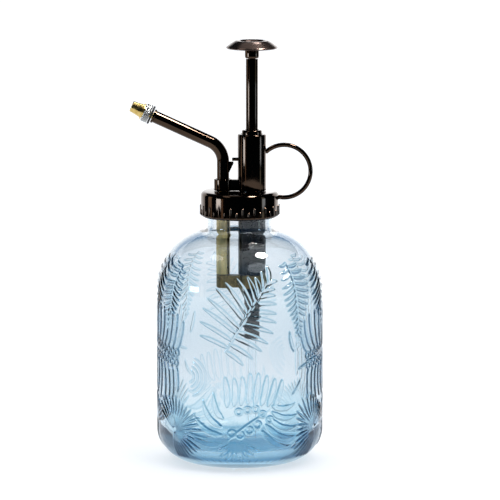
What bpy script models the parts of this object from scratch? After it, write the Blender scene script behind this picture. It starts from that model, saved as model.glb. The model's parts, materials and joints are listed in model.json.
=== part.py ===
"""Hand mister: a glass bottle with a screw-on plunger pump, an angled spout and a brass spray nozzle.

Frame: metres, +Z up, origin under the middle of the bottle's base. The spout points to -X and the finger
loop to +X, so that the pump, the riser and the spout all lie in the plane Y = 0.
"""

import math

import bmesh
import bpy
from mathutils import Matrix, Vector

MM = 0.001
GAP = 0.3 * MM          # between two pieces that touch on the real object
FINE, MEDIUM, COARSE = 36, 24, 16   # sides of round pieces, by size
FULL_TURN = 2 * math.pi
MERGE = 1e-6
OVERSHOOT = 2 * MM      # how far a cutter runs past the wall that it cuts
SHARP_ANGLE = math.radians(35)

# Bottle
BODY_R = 39.7 * MM
GLASS_WALL = 2.9 * MM
SHOULDER_ARC_R = 27.8 * MM
SHOULDER_Z = 84.6 * MM  # the body is straight up to here
HEEL_ARC_R = 16.5 * MM
FLOOR_Z = 5.5 * MM
INNER_HEEL_R = 13.0 * MM
PUSH_UP = 1.0 * MM      # hollow under the base
PUSH_UP_R = 19.0 * MM
FOOT_INNER_R = 21.0 * MM
NECK_R = 15.6 * MM
NECK_BORE_R = 13.2 * MM
LIP_Z = 126.0 * MM
LIP_ROUND = 0.6 * MM
NECK_ROOT_Z = 113.2 * MM

# Thread between neck and cap
PITCH = 4.2 * MM
RIDGE_H = 0.9 * MM
RIDGE_ROOT_W = 1.5 * MM
RIDGE_CREST_W = 0.8 * MM
RIDGE_BURY = 0.6 * MM   # how deep a ridge runs into its wall
NECK_THREAD_Z, NECK_THREAD_TURNS = 119.6 * MM, 1.1
CAP_THREAD_Z, CAP_THREAD_TURNS = 121.2 * MM, 0.9
CAP_THREAD_LAG = math.radians(-43)

# Closure
DECK_Z = 130.9 * MM
CAP_R = 18.85 * MM
CAP_BOTTOM_Z = 119.2 * MM
CAP_SHELL = 1.1 * MM
DECK_ROUND = 1.8 * MM
INSERT_R = 17.5 * MM
INSERT_BORE_R = 16.8 * MM
INSERT_DECK = 1.4 * MM
INSERT_BOTTOM_Z = 119.6 * MM
GASKET_T = 1.5 * MM
RIBS = 20               # long grip ribs, with as many short ones between them
LONG_RIB_Z, SHORT_RIB_Z = 124.6 * MM, 122.5 * MM
RIB_R = 0.6 * MM
RIB_PROUD = 0.4 * MM
RIB_SIDES = 6

# Pump, about its own vertical axis
PUMP_X = 5.85 * MM
CASING_R = 6.9 * MM
CASING_BORE_R = 6.0 * MM
CASING_TOP_Z = 158.4 * MM
CASING_LEDGE_Z = 155.6 * MM
CASING_MOUTH_R = 5.2 * MM
CYLINDER_R = 6.6 * MM
CYLINDER_NECK_R = 5.7 * MM
CYLINDER_BORE_R = 4.7 * MM
CYLINDER_TOP_Z = 153.0 * MM
BLOCK_TOP_Z, BLOCK_BOTTOM_Z = 90.4 * MM, 84.0 * MM
PASSAGE_R = 1.1 * MM
INTAKE_R = 4.2 * MM
INTAKE_BOTTOM_Z = 59.5 * MM
INLET_SEAT_Z, INLET_SEAT_R = 79.2 * MM, 1.2 * MM
INLET_BALL_R = 1.7 * MM
BALL_CHAMBER_R = 2.2 * MM
TUBE_R, TUBE_BORE_R = 2.5 * MM, 1.7 * MM
TUBE_SOCKET_TOP_Z = 75.0 * MM
TUBE_BOTTOM_Z = 7.5 * MM

# Riser and spout, about a second vertical axis
SPOUT_X = -8.0 * MM
RISER_R = 3.3 * MM
RISER_SPIGOT_R = 2.4 * MM
RISER_TOP_Z = 131.2 * MM
RISER_BORE_R = 1.3 * MM
OUTLET_BALL_R = 1.5 * MM
OUTLET_CHAMBER_R = 1.9 * MM
OUTLET_CHAMBER_TOP_Z = 94.9 * MM
SOCKET_R, SOCKET_BORE_R = 4.4 * MM, 3.3 * MM
SOCKET_TOP_Z = 136.7 * MM
WEB_T = 5.0 * MM
SPOUT_R, SPOUT_BORE_R = 3.0 * MM, 1.8 * MM
SPOUT_FOOT_Z = 133.0 * MM
SPOUT_CORNER_Z = 151.8 * MM   # where the upright and the sloping centre lines cross
SPOUT_RISE = math.radians(24.5)
SPOUT_BEND_R = 10.5 * MM
SPOUT_REACH = 37.1 * MM        # from that corner to the spout's end
LATCH_Z = 145.4 * MM           # underside of the latch tab, over the spout's fin
LATCH_T = 1.6 * MM
LATCH_W = 2.2 * MM
LATCH_TIP_X = -3.7 * MM
FIN_TIP_X = -3.0 * MM
FIN_DROP = 5.2 * MM
FIN_W = 1.6 * MM

# Plunger at rest, fully up
ROD_R = 2.95 * MM
ROD_SHOULDER_Z = 194.6 * MM
ROD_FOOT_Z = 149.9 * MM
STUD_R = 1.8 * MM
STUD_TOP_Z = 200.6 * MM
SPIGOT_R, SPIGOT_BOTTOM_Z = 1.7 * MM, 143.8 * MM
COLLAR_R = 3.45 * MM
KNOB_R = 12.5 * MM
KNOB_UNDER_Z = 199.4 * MM
KNOB_TOP_Z = 203.3 * MM
DISH_DEPTH = 1.0 * MM
STUD_HOLE_R = 2.1 * MM
NUT_BOTTOM_Z, NUT_TOP_Z = 143.6 * MM, 145.4 * MM
SPRING_R, SPRING_WIRE_R = 2.9 * MM, 0.4 * MM
SPRING_TURNS, SPRING_POINTS = 8, 10

PISTON_T = 2.4 * MM
CUP_TOP_Z = 146.9 * MM
PISTON_NUT_R = 3.3 * MM

# Ring seals: radius of the ring, radius of its section, height
ROD_SEAL = (3.65 * MM, 0.5 * MM, 156.1 * MM)
SPOUT_SEAL = (2.2 * MM, 0.6 * MM, 132.1 * MM)

# Finger loop
LOOP_X, LOOP_Z = 21.3 * MM, 140.4 * MM
LOOP_R, LOOP_WIRE_R = 12.75 * MM, 1.1 * MM
LOOP_START, LOOP_END = math.radians(-102.5), math.radians(134.3)
LOOP_POINTS = 25
LOOP_HOLE_R = 1.4 * MM

# Nozzle: distances along the spout's slope, from its corner
SEAT_WASHER = (37.4 * MM, 38.3 * MM)
SEAT_WASHER_R = 4.6 * MM
NOZZLE_BACK, NOZZLE_NOSE = 38.6 * MM, 48.2 * MM
GRIP = (38.6 * MM, 41.7 * MM)
GRIP_R, GRIP_BORE_R = 4.45 * MM, 3.3 * MM
GRIP_TEETH = 24
TOOTH_H = 0.25 * MM
NOZZLE_HUB_R, NOZZLE_BORE_R = 3.0 * MM, 1.8 * MM
NOZZLE_ROOT_R, NOZZLE_NOSE_R = 3.35 * MM, 2.65 * MM
NOZZLE_FLANGE_R, NOZZLE_FLANGE_T = 4.0 * MM, 0.7 * MM
NOZZLE_CHAMBER_END = 45.6 * MM
ORIFICE_R = 0.35 * MM
SLOT_W, SLOT_DEPTH = 1.1 * MM, 2.0 * MM
SPIGOT_TUBE = (32.0 * MM, 43.5 * MM)
SPIGOT_TUBE_R, SPIGOT_TUBE_BORE_R = 1.5 * MM, 0.75 * MM
CORE = (43.8 * MM, 45.3 * MM)
CORE_R, CORE_TAIL_R, CORE_TAIL_BACK = 1.45 * MM, 0.45 * MM, 41.0 * MM


# ---------------------------------------------------------------- scene helpers

def clear_scene():
    for obj in list(bpy.data.objects):
        bpy.data.objects.remove(obj)


def new_collection(name):
    made = bpy.data.collections.new(name)
    bpy.context.scene.collection.children.link(made)
    return made


def new_material(name, colour, roughness, metallic=0.0, alpha=1.0):
    made = bpy.data.materials.new(name)
    made.use_nodes = True
    shader = made.node_tree.nodes["Principled BSDF"]
    shader.inputs["Base Color"].default_value = (*colour, 1.0)
    shader.inputs["Roughness"].default_value = roughness
    shader.inputs["Metallic"].default_value = metallic
    shader.inputs["Alpha"].default_value = alpha
    return made


clear_scene()
PARTS = new_collection("hand_mister")
CUTTERS = new_collection("cutters")
MATERIALS = {
    "blue_glass": new_material("blue_glass", (0.55, 0.75, 0.88), 0.05, alpha=0.35),
    "dark_bronze": new_material("dark_bronze", (0.10, 0.06, 0.04), 0.15, 1.0),
    "black_plastic": new_material("black_plastic", (0.04, 0.04, 0.045), 0.4),
    "clear_plastic": new_material("clear_plastic", (0.85, 0.88, 0.88), 0.2, alpha=0.5),
    "black_rubber": new_material("black_rubber", (0.02, 0.02, 0.02), 0.7),
    "white_plastic": new_material("white_plastic", (0.85, 0.85, 0.83), 0.4),
    "brass": new_material("brass", (0.80, 0.62, 0.27), 0.2, 1.0),
    "nickel": new_material("nickel", (0.75, 0.75, 0.74), 0.25, 1.0),
    "steel": new_material("steel", (0.62, 0.62, 0.63), 0.25, 1.0),
}


def new_object(name, data, collection, matrix=None):
    made = bpy.data.objects.new(name, data)
    collection.objects.link(made)
    if matrix is not None:
        made.matrix_world = matrix
    return made


def apply_modifiers(obj):
    """Makes the shape final, smooth across its gentle edges and sharp across the rest."""
    bpy.context.view_layer.update()
    graph = bpy.context.evaluated_depsgraph_get()
    mesh = bpy.data.meshes.new_from_object(obj.evaluated_get(graph))
    obj.modifiers.clear()
    obj.data = mesh
    mesh.shade_smooth()
    mesh.set_sharp_from_angle(angle=SHARP_ANGLE)


def finish_part(obj, material):
    """Puts an object among the parts, with its material."""
    if obj.type == "MESH":
        apply_modifiers(obj)
    if obj.name not in PARTS.objects:
        PARTS.objects.link(obj)
    for collection in list(obj.users_collection):
        if collection is not PARTS:
            collection.objects.unlink(obj)
    obj.hide_render = False
    obj.display_type = "TEXTURED"
    obj.data.materials.clear()
    obj.data.materials.append(MATERIALS[material])
    return obj


def helper(obj):
    """Marks a cutter or a shape that is joined into a part."""
    obj.hide_render = True
    obj.display_type = "WIRE"
    return obj


def on_axis(x):
    return Matrix.Translation((x, 0, 0))


def along_spout():
    """Local +Z runs down the sloping part of the spout, from the corner towards the nozzle."""
    turn = Matrix.Rotation(-(math.pi / 2 - SPOUT_RISE), 4, "Y")
    return Matrix.Translation((SPOUT_X, 0, SPOUT_CORNER_Z)) @ turn


# ---------------------------------------------------------------- shapes

def arc(centre, radius, start_deg, end_deg, steps):
    """Points (r, z) of an arc. 0 degrees points away from the axis and 90 points up."""
    points = []
    for i in range(steps + 1):
        angle = math.radians(start_deg + (end_deg - start_deg) * i / steps)
        points.append((centre[0] + radius * math.cos(angle), centre[1] + radius * math.sin(angle)))
    return points


def turned(name, outline, matrix=None, steps=MEDIUM, closed=False):
    """A profile of (r, z) points turned about local Z. It runs down its outer side.

    An open profile starts and ends on the axis. A closed one is a ring's section.
    """
    mesh = bpy.data.meshes.new(name)
    edges = [(i, i + 1) for i in range(len(outline) - 1)]
    if closed:
        edges.append((len(outline) - 1, 0))
    mesh.from_pydata([(r, 0, z) for r, z in outline], edges, [])
    made = helper(new_object(name, mesh, CUTTERS, matrix))
    screw = made.modifiers.new("turn", "SCREW")
    screw.axis = "Z"
    screw.angle = FULL_TURN
    screw.steps = screw.render_steps = steps
    screw.use_merge_vertices = True
    screw.merge_threshold = MERGE
    return made


def disc_profile(radius, bottom, top):
    return [(0, top), (radius, top), (radius, bottom), (0, bottom)]


def ring_profile(inner, outer, bottom, top):
    return [(inner, top), (outer, top), (outer, bottom), (inner, bottom)]


def rod_along(name, radius, bottom, top, matrix=None, steps=COARSE):
    return turned(name, disc_profile(radius, bottom, top), matrix, steps)


def box(name, low, high, matrix=None):
    mesh = bpy.data.meshes.new(name)
    shape = bmesh.new()
    bmesh.ops.create_cube(shape, size=1.0)
    size = Vector(high) - Vector(low)
    centre = (Vector(high) + Vector(low)) / 2
    bmesh.ops.scale(shape, vec=size, verts=shape.verts)
    bmesh.ops.translate(shape, vec=centre, verts=shape.verts)
    shape.to_mesh(mesh)
    shape.free()
    return helper(new_object(name, mesh, CUTTERS, matrix))


def boolean(obj, other, operation):
    step = obj.modifiers.new(operation.lower(), "BOOLEAN")
    step.operation = operation
    step.solver = "EXACT"
    step.object = other
    return obj


def join(obj, other):
    return boolean(obj, other, "UNION")


def cut(obj, other):
    return boolean(obj, other, "DIFFERENCE")


def wire(name, points, radius, bevel_resolution, matrix=None):
    """A round wire through the points, with filled ends."""
    curve = bpy.data.curves.new(name, "CURVE")
    curve.dimensions = "3D"
    curve.bevel_depth = radius
    curve.bevel_resolution = bevel_resolution
    curve.use_fill_caps = True
    spline = curve.splines.new("POLY")
    spline.points.add(len(points) - 1)
    for point, place in zip(spline.points, points):
        point.co = (*place, 1.0)
    return helper(new_object(name, curve, CUTTERS, matrix))


def as_mesh(name, source):
    """A curve object made a closed mesh object in the same place, which a Boolean can use."""
    bpy.context.view_layer.update()
    graph = bpy.context.evaluated_depsgraph_get()
    mesh = bpy.data.meshes.new_from_object(source.evaluated_get(graph))
    shape = bmesh.new()
    shape.from_mesh(mesh)
    bmesh.ops.remove_doubles(shape, verts=shape.verts, dist=MERGE)
    bmesh.ops.recalc_face_normals(shape, faces=shape.faces)
    shape.to_mesh(mesh)
    shape.free()
    made = helper(new_object(name, mesh, CUTTERS, source.matrix_world.copy()))
    bpy.data.objects.remove(source)
    return made


def solid_wire(name, points, radius, bevel_resolution):
    return as_mesh(name, wire(name + "_curve", points, radius, bevel_resolution))


def helical_ridge(name, wall_r, height, start_z, turns, start_angle=0.0):
    """A right-hand thread ridge on a wall of radius wall_r. A negative height makes it stand inwards."""
    side = math.copysign(1, height)
    root, crest = wall_r - side * RIDGE_BURY, wall_r + height
    section = [
        (root, -RIDGE_ROOT_W / 2),
        (wall_r, -RIDGE_ROOT_W / 2),
        (crest, -RIDGE_CREST_W / 2),
        (crest, RIDGE_CREST_W / 2),
        (wall_r, RIDGE_ROOT_W / 2),
        (root, RIDGE_ROOT_W / 2),
    ]
    steps = round(FINE * turns)
    shape = bmesh.new()
    face = shape.faces.new([shape.verts.new((r, 0, z + start_z)) for r, z in section])
    bmesh.ops.spin(
        shape,
        geom=[face],
        cent=(0, 0, 0),
        axis=(0, 0, 1),
        dvec=(0, 0, PITCH * turns / steps),
        angle=FULL_TURN * turns,
        steps=steps,
    )
    bmesh.ops.recalc_face_normals(shape, faces=shape.faces)
    mesh = bpy.data.meshes.new(name)
    shape.to_mesh(mesh)
    shape.free()
    return helper(new_object(name, mesh, CUTTERS, Matrix.Rotation(start_angle, 4, "Z")))


# ---------------------------------------------------------------- bottle

def glass_bottle():
    shoulder = (BODY_R - SHOULDER_ARC_R, SHOULDER_Z)
    inner_r = BODY_R - GLASS_WALL
    neck_meets = math.degrees(math.acos((NECK_R + 0.9 * MM - shoulder[0]) / SHOULDER_ARC_R))
    bore_meets = math.degrees(math.acos((NECK_BORE_R - shoulder[0]) / (SHOULDER_ARC_R - GLASS_WALL)))
    outline = [(NECK_R - LIP_ROUND, LIP_Z), (NECK_R, LIP_Z - LIP_ROUND), (NECK_R, NECK_ROOT_Z)]
    outline += arc(shoulder, SHOULDER_ARC_R, neck_meets, 0, 8)
    outline += arc((BODY_R - HEEL_ARC_R, HEEL_ARC_R), HEEL_ARC_R, 0, -90, 6)
    outline += [(FOOT_INNER_R, 0), (PUSH_UP_R, PUSH_UP), (0, PUSH_UP)]
    outline += [(0, FLOOR_Z)]
    outline += arc((inner_r - INNER_HEEL_R, FLOOR_Z + INNER_HEEL_R), INNER_HEEL_R, -90, 0, 4)
    outline += arc(shoulder, SHOULDER_ARC_R - GLASS_WALL, 0, bore_meets, 6)
    outline += [(NECK_BORE_R, LIP_Z - LIP_ROUND), (NECK_BORE_R + LIP_ROUND, LIP_Z)]
    # The closing edge would run along the axis, so the underside and the floor meet it separately.
    axis_gap = outline.index((0, PUSH_UP))
    ordered = outline[axis_gap + 1:] + outline[: axis_gap + 1]
    bottle = turned("glass_bottle", ordered, steps=FINE)
    join(bottle, helical_ridge("neck_thread", NECK_R, RIDGE_H, NECK_THREAD_Z, NECK_THREAD_TURNS))
    return finish_part(bottle, "blue_glass")


# ---------------------------------------------------------------- closure

def deck_holes(thing, name):
    """The two holes that let the pump's cylinder and riser up through a deck."""
    low, high = LIP_Z, DECK_Z + OVERSHOOT
    for x, radius, what in ((PUMP_X, CASING_BORE_R, "pump"), (SPOUT_X, RISER_SPIGOT_R + GAP, "riser")):
        cut(thing, rod_along(f"{name}_{what}_hole", radius, low, high, on_axis(x)))
    return thing


def grip_ribs():
    """Long and short upright ribs in turn, as one mesh of separate prisms."""
    shape = bmesh.new()
    bottom = CAP_BOTTOM_Z + 0.5 * MM
    for i in range(2 * RIBS):
        top = LONG_RIB_Z if i % 2 == 0 else SHORT_RIB_Z
        angle = FULL_TURN * i / (2 * RIBS)
        out = CAP_R + RIB_PROUD - RIB_R
        place = Matrix.Translation((out * math.cos(angle), out * math.sin(angle), (top + bottom) / 2))
        bmesh.ops.create_cone(
            shape,
            cap_ends=True,
            segments=RIB_SIDES,
            radius1=RIB_R,
            radius2=RIB_R,
            depth=top - bottom,
            matrix=place @ Matrix.Rotation(angle, 4, "Z"),
        )
    mesh = bpy.data.meshes.new("grip_ribs")
    shape.to_mesh(mesh)
    shape.free()
    return helper(new_object("grip_ribs", mesh, CUTTERS))


def screw_cap():
    inner_r = CAP_R - CAP_SHELL
    deck_round = arc((CAP_R - DECK_ROUND, DECK_Z - DECK_ROUND), DECK_ROUND, 90, 0, 3)
    outline = [(0, DECK_Z)] + deck_round
    outline += [(CAP_R, CAP_BOTTOM_Z), (inner_r, CAP_BOTTOM_Z)]
    outline += [(inner_r, DECK_Z - CAP_SHELL), (0, DECK_Z - CAP_SHELL)]
    cap = turned("screw_cap", outline, steps=FINE)
    join(cap, grip_ribs())
    deck_holes(cap, "cap")
    loop_hole = rod_along("cap_loop_hole", LOOP_HOLE_R, -OVERSHOOT, OVERSHOOT, loop_end_matrix(LOOP_START))
    cut(cap, loop_hole)
    return finish_part(cap, "dark_bronze")


def threaded_insert():
    top = DECK_Z - CAP_SHELL - GAP
    under = top - INSERT_DECK
    outline = [(0, top), (INSERT_R, top), (INSERT_R, INSERT_BOTTOM_Z), (INSERT_BORE_R, INSERT_BOTTOM_Z)]
    outline += [(INSERT_BORE_R, under), (0, under)]
    insert = turned("threaded_insert", outline, steps=FINE)
    ridge = helical_ridge(
        "insert_thread", INSERT_BORE_R, -RIDGE_H, CAP_THREAD_Z, CAP_THREAD_TURNS, CAP_THREAD_LAG
    )
    join(insert, ridge)
    deck_holes(insert, "insert")
    return finish_part(insert, "black_plastic")


def neck_gasket():
    bottom = LIP_Z + GAP
    section = ring_profile(NECK_BORE_R + 0.1 * MM, NECK_R - 0.1 * MM, bottom, bottom + GASKET_T)
    return finish_part(turned("neck_gasket", section, steps=FINE, closed=True), "white_plastic")


# ---------------------------------------------------------------- pump casing and finger loop

def loop_point(angle):
    return Vector((LOOP_X + LOOP_R * math.cos(angle), 0, LOOP_Z + LOOP_R * math.sin(angle)))


def loop_end_matrix(angle):
    """Local Z runs along the loop's wire at this angle."""
    tangent = Vector((-math.sin(angle), 0, math.cos(angle)))
    return Matrix.Translation(loop_point(angle)) @ tangent.to_track_quat("Z", "Y").to_matrix().to_4x4()


def finger_loop():
    points = []
    for i in range(LOOP_POINTS):
        points.append(loop_point(LOOP_START + (LOOP_END - LOOP_START) * i / (LOOP_POINTS - 1)))
    return finish_part(wire("finger_loop", points, LOOP_WIRE_R, 2), "dark_bronze")


def barrel_casing():
    """The upper barrel with the spout's socket, the web between them and the latch tab, in one moulding."""
    foot = DECK_Z + GAP
    shoulder_r = CASING_R - CASING_MOUTH_R - 0.4 * MM
    outline = [(0, CASING_TOP_Z)]
    outline += arc((CASING_R - shoulder_r, CASING_TOP_Z - shoulder_r), shoulder_r, 90, 0, 3)
    outline += [(CASING_R, foot), (0, foot)]
    casing = turned("barrel_casing", outline, on_axis(PUMP_X))
    join(casing, rod_along("socket_body", SOCKET_R, foot, SOCKET_TOP_Z, on_axis(SPOUT_X), MEDIUM))
    web_low, web_high = (SPOUT_X, -WEB_T / 2, foot), (PUMP_X, WEB_T / 2, SOCKET_TOP_Z - 0.2 * MM)
    join(casing, box("web", web_low, web_high))
    tab_low = (LATCH_TIP_X, -LATCH_W / 2, LATCH_Z)
    tab_high = (PUMP_X, LATCH_W / 2, LATCH_Z + LATCH_T)
    join(casing, box("latch_tab", tab_low, tab_high))
    bore = [
        (0, CASING_TOP_Z + OVERSHOOT),
        (CASING_MOUTH_R, CASING_TOP_Z + OVERSHOOT),
        (CASING_MOUTH_R, CASING_LEDGE_Z),
        (CASING_BORE_R, CASING_LEDGE_Z),
        (CASING_BORE_R, foot - OVERSHOOT),
        (0, foot - OVERSHOOT),
    ]
    cut(casing, turned("casing_bore", bore, on_axis(PUMP_X)))
    low, high = foot - OVERSHOOT, SOCKET_TOP_Z + OVERSHOOT
    cut(casing, rod_along("socket_bore", SOCKET_BORE_R, low, high, on_axis(SPOUT_X)))
    hole = rod_along("casing_loop_hole", LOOP_HOLE_R, -OVERSHOOT, OVERSHOOT, loop_end_matrix(LOOP_END))
    cut(casing, hole)
    return finish_part(casing, "dark_bronze")


def gland_nut():
    """Closes the cylinder's top and guides the rod. The groove inside holds the rod seal."""
    bore_r = ROD_R + GAP
    groove_r = 4.4 * MM
    flange_r = CASING_BORE_R - 0.4 * MM
    neck_r = CASING_MOUTH_R - GAP
    top = 160.4 * MM
    round_over = 0.6 * MM
    flange_top = CASING_LEDGE_Z - GAP
    groove = (155.3 * MM, 156.9 * MM)
    outline = [
        (bore_r, top),
        (neck_r - round_over, top),
        (neck_r, top - round_over),
        (neck_r, flange_top),
        (flange_r, flange_top),
        (flange_r, CYLINDER_TOP_Z + GAP),
        (bore_r, CYLINDER_TOP_Z + GAP),
        (bore_r, groove[0]),
        (groove_r, groove[0]),
        (groove_r, groove[1]),
        (bore_r, groove[1]),
    ]
    return finish_part(turned("gland_nut", outline, on_axis(PUMP_X), closed=True), "dark_bronze")


def ring_seal(name, radius, section_r, z, x):
    section = arc((radius, z), section_r, 90, -225, 7)
    made = turned(name, section, on_axis(x), COARSE, closed=True)
    return finish_part(made, "black_rubber")


# ---------------------------------------------------------------- pump below the deck

def pump_cylinder():
    step_z = LIP_Z + GAP + GASKET_T
    outline = [
        (CYLINDER_BORE_R, CYLINDER_TOP_Z),
        (CYLINDER_NECK_R, CYLINDER_TOP_Z),
        (CYLINDER_NECK_R, step_z),
        (CYLINDER_R, step_z),
        (CYLINDER_R, BLOCK_TOP_Z + GAP),
        (CYLINDER_BORE_R, BLOCK_TOP_Z + GAP),
    ]
    return finish_part(turned("pump_cylinder", outline, on_axis(PUMP_X), closed=True), "black_plastic")


def riser_tube():
    step_z = LIP_Z + GAP + GASKET_T
    outline = [
        (RISER_BORE_R, RISER_TOP_Z),
        (RISER_SPIGOT_R, RISER_TOP_Z),
        (RISER_SPIGOT_R, step_z),
        (RISER_R, step_z),
        (RISER_R, BLOCK_TOP_Z + GAP),
        (OUTLET_CHAMBER_R, BLOCK_TOP_Z + GAP),
        (OUTLET_CHAMBER_R, OUTLET_CHAMBER_TOP_Z),
        (RISER_BORE_R, OUTLET_CHAMBER_TOP_Z),
    ]
    return finish_part(turned("riser_tube", outline, on_axis(SPOUT_X), COARSE, closed=True), "dark_bronze")


def valve_block():
    """Joins the cylinder's foot to the riser's foot, with the water passage between them."""
    block = rod_along("valve_block", CYLINDER_R, BLOCK_BOTTOM_Z, BLOCK_TOP_Z, on_axis(PUMP_X), MEDIUM)
    join(block, rod_along("block_end", RISER_R, BLOCK_BOTTOM_Z, BLOCK_TOP_Z, on_axis(SPOUT_X)))
    half, inset = RISER_R * 0.8, 0.2 * MM
    bridge_low = (SPOUT_X - inset, -half, BLOCK_BOTTOM_Z + inset)
    bridge_high = (PUMP_X - inset, half, BLOCK_TOP_Z - inset)
    join(block, box("block_bridge", bridge_low, bridge_high))
    low, high = BLOCK_BOTTOM_Z - OVERSHOOT, BLOCK_TOP_Z + OVERSHOOT
    cut(block, rod_along("intake_passage", INLET_SEAT_R, low, high, on_axis(PUMP_X)))
    middle = (BLOCK_BOTTOM_Z + BLOCK_TOP_Z) / 2
    cut(block, rod_along("outlet_passage", PASSAGE_R, middle - PASSAGE_R, high, on_axis(SPOUT_X)))
    sideways = Matrix.Translation((0, 0, middle)) @ Matrix.Rotation(math.pi / 2, 4, "Y")
    past = PASSAGE_R / 2
    cut(block, rod_along("cross_passage", PASSAGE_R * 0.8, SPOUT_X - past, PUMP_X + past, sideways))
    return finish_part(block, "dark_bronze")


def intake_housing():
    top = BLOCK_BOTTOM_Z - GAP
    socket_r = TUBE_R + 0.25 * MM
    outline = [
        (BALL_CHAMBER_R, top),
        (INTAKE_R, top),
        (INTAKE_R, INTAKE_BOTTOM_Z),
        (socket_r, INTAKE_BOTTOM_Z),
        (socket_r, TUBE_SOCKET_TOP_Z),
        (INLET_SEAT_R, TUBE_SOCKET_TOP_Z),
        (INLET_SEAT_R, INLET_SEAT_Z),
        (BALL_CHAMBER_R, INLET_SEAT_Z),
    ]
    made = turned("intake_housing", outline, on_axis(PUMP_X), COARSE, closed=True)
    return finish_part(made, "black_plastic")


def dip_tube():
    section = ring_profile(TUBE_BORE_R, TUBE_R, TUBE_BOTTOM_Z, TUBE_SOCKET_TOP_Z - GAP)
    return finish_part(turned("dip_tube", section, on_axis(PUMP_X), COARSE, closed=True), "clear_plastic")


def valve_ball(name, radius, x, seat_r, seat_z):
    """A ball just clear of the rim that it closes on."""
    lift = 0.15 * MM
    mesh = bpy.data.meshes.new(name)
    shape = bmesh.new()
    bmesh.ops.create_uvsphere(shape, u_segments=12, v_segments=8, radius=radius)
    shape.to_mesh(mesh)
    shape.free()
    height = seat_z + math.sqrt(radius**2 - seat_r**2) + lift
    made = new_object(name, mesh, PARTS, Matrix.Translation((x, 0, height)))
    return finish_part(made, "steel")


# ---------------------------------------------------------------- plunger

def plunger_rod():
    outline = [
        (0, STUD_TOP_Z),
        (STUD_R, STUD_TOP_Z),
        (STUD_R, ROD_SHOULDER_Z),
        (ROD_R, ROD_SHOULDER_Z),
        (ROD_R, ROD_FOOT_Z),
        (SPIGOT_R, ROD_FOOT_Z),
        (SPIGOT_R, SPIGOT_BOTTOM_Z),
        (0, SPIGOT_BOTTOM_Z),
    ]
    return finish_part(turned("plunger_rod", outline, on_axis(PUMP_X), COARSE), "dark_bronze")


def knob_collar():
    bevel = 0.4 * MM
    top, bottom = KNOB_UNDER_Z - GAP, ROD_SHOULDER_Z + GAP
    outline = [
        (STUD_HOLE_R, top),
        (COLLAR_R, top),
        (COLLAR_R, bottom + bevel),
        (COLLAR_R - bevel, bottom),
        (STUD_HOLE_R, bottom),
    ]
    return finish_part(turned("knob_collar", outline, on_axis(PUMP_X), COARSE, closed=True), "dark_bronze")


def knob():
    """A mushroom-shaped button with a dished top and a blind hole for the rod's stud."""
    dish_z = KNOB_TOP_Z - DISH_DEPTH
    outline = [
        (0, dish_z),
        (5.0 * MM, dish_z + 0.05 * MM),
        (5.9 * MM, KNOB_TOP_Z - 0.4 * MM),
        (6.6 * MM, KNOB_TOP_Z),
        (7.7 * MM, KNOB_TOP_Z),
        (8.8 * MM, KNOB_TOP_Z - 0.6 * MM),
        (KNOB_R - 0.5 * MM, KNOB_UNDER_Z + 1.3 * MM),
        (KNOB_R, KNOB_UNDER_Z + 0.7 * MM),
        (KNOB_R - 0.2 * MM, KNOB_UNDER_Z + 0.2 * MM),
        (KNOB_R - 0.7 * MM, KNOB_UNDER_Z),
        (STUD_HOLE_R, KNOB_UNDER_Z),
        (STUD_HOLE_R, STUD_TOP_Z + GAP),
        (0, STUD_TOP_Z + GAP),
    ]
    return finish_part(turned("knob", outline, on_axis(PUMP_X)), "dark_bronze")


def piston():
    top = ROD_FOOT_Z - GAP
    section = ring_profile(SPIGOT_R + GAP, CYLINDER_BORE_R - GAP, top - PISTON_T, top)
    return finish_part(turned("piston", section, on_axis(PUMP_X), closed=True), "white_plastic")


def piston_cup():
    """A soft cup seal whose lip points down into the water."""
    top, bore_r, lip_r = CUP_TOP_Z, SPIGOT_R + GAP, CYLINDER_BORE_R - 0.15 * MM
    outline = [
        (bore_r, top),
        (lip_r - 0.4 * MM, top),
        (lip_r, top - 0.7 * MM),
        (lip_r, top - 2.4 * MM),
        (lip_r - 0.6 * MM, top - 2.4 * MM),
        (lip_r - 0.9 * MM, top - 1.2 * MM),
        (bore_r, top - 1.2 * MM),
    ]
    return finish_part(turned("piston_cup", outline, on_axis(PUMP_X), closed=True), "black_rubber")


def piston_nut():
    section = ring_profile(SPIGOT_R + GAP, PISTON_NUT_R, NUT_BOTTOM_Z, NUT_TOP_Z)
    return finish_part(turned("piston_nut", section, on_axis(PUMP_X), 6, closed=True), "steel")


def return_spring():
    low = BLOCK_TOP_Z + GAP + SPRING_WIRE_R
    high = NUT_BOTTOM_Z - GAP - SPRING_WIRE_R
    count = SPRING_TURNS * SPRING_POINTS
    points = []
    for i in range(count + 1):
        angle = FULL_TURN * i / SPRING_POINTS
        z = low + (high - low) * i / count
        points.append((SPRING_R * math.cos(angle), SPRING_R * math.sin(angle), z))
    return finish_part(wire("return_spring", points, SPRING_WIRE_R, 1, on_axis(PUMP_X)), "steel")


# ---------------------------------------------------------------- spout and nozzle

def spout_path():
    """The spout's centre line: up from the socket, round the bend and out along the slope."""
    slope = Vector((-math.cos(SPOUT_RISE), 0, math.sin(SPOUT_RISE)))
    corner = Vector((SPOUT_X, 0, SPOUT_CORNER_Z))
    turn = math.pi / 2 - SPOUT_RISE
    tangent = SPOUT_BEND_R * math.tan(turn / 2)
    centre = corner + Vector((-SPOUT_BEND_R, 0, -tangent))
    points = [Vector((SPOUT_X, 0, SPOUT_FOOT_Z))]
    steps = 7
    for i in range(steps + 1):
        angle = turn * i / steps
        points.append(centre + SPOUT_BEND_R * Vector((math.cos(angle), 0, math.sin(angle))))
    points.append(corner + slope * SPOUT_REACH)
    return points


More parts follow.
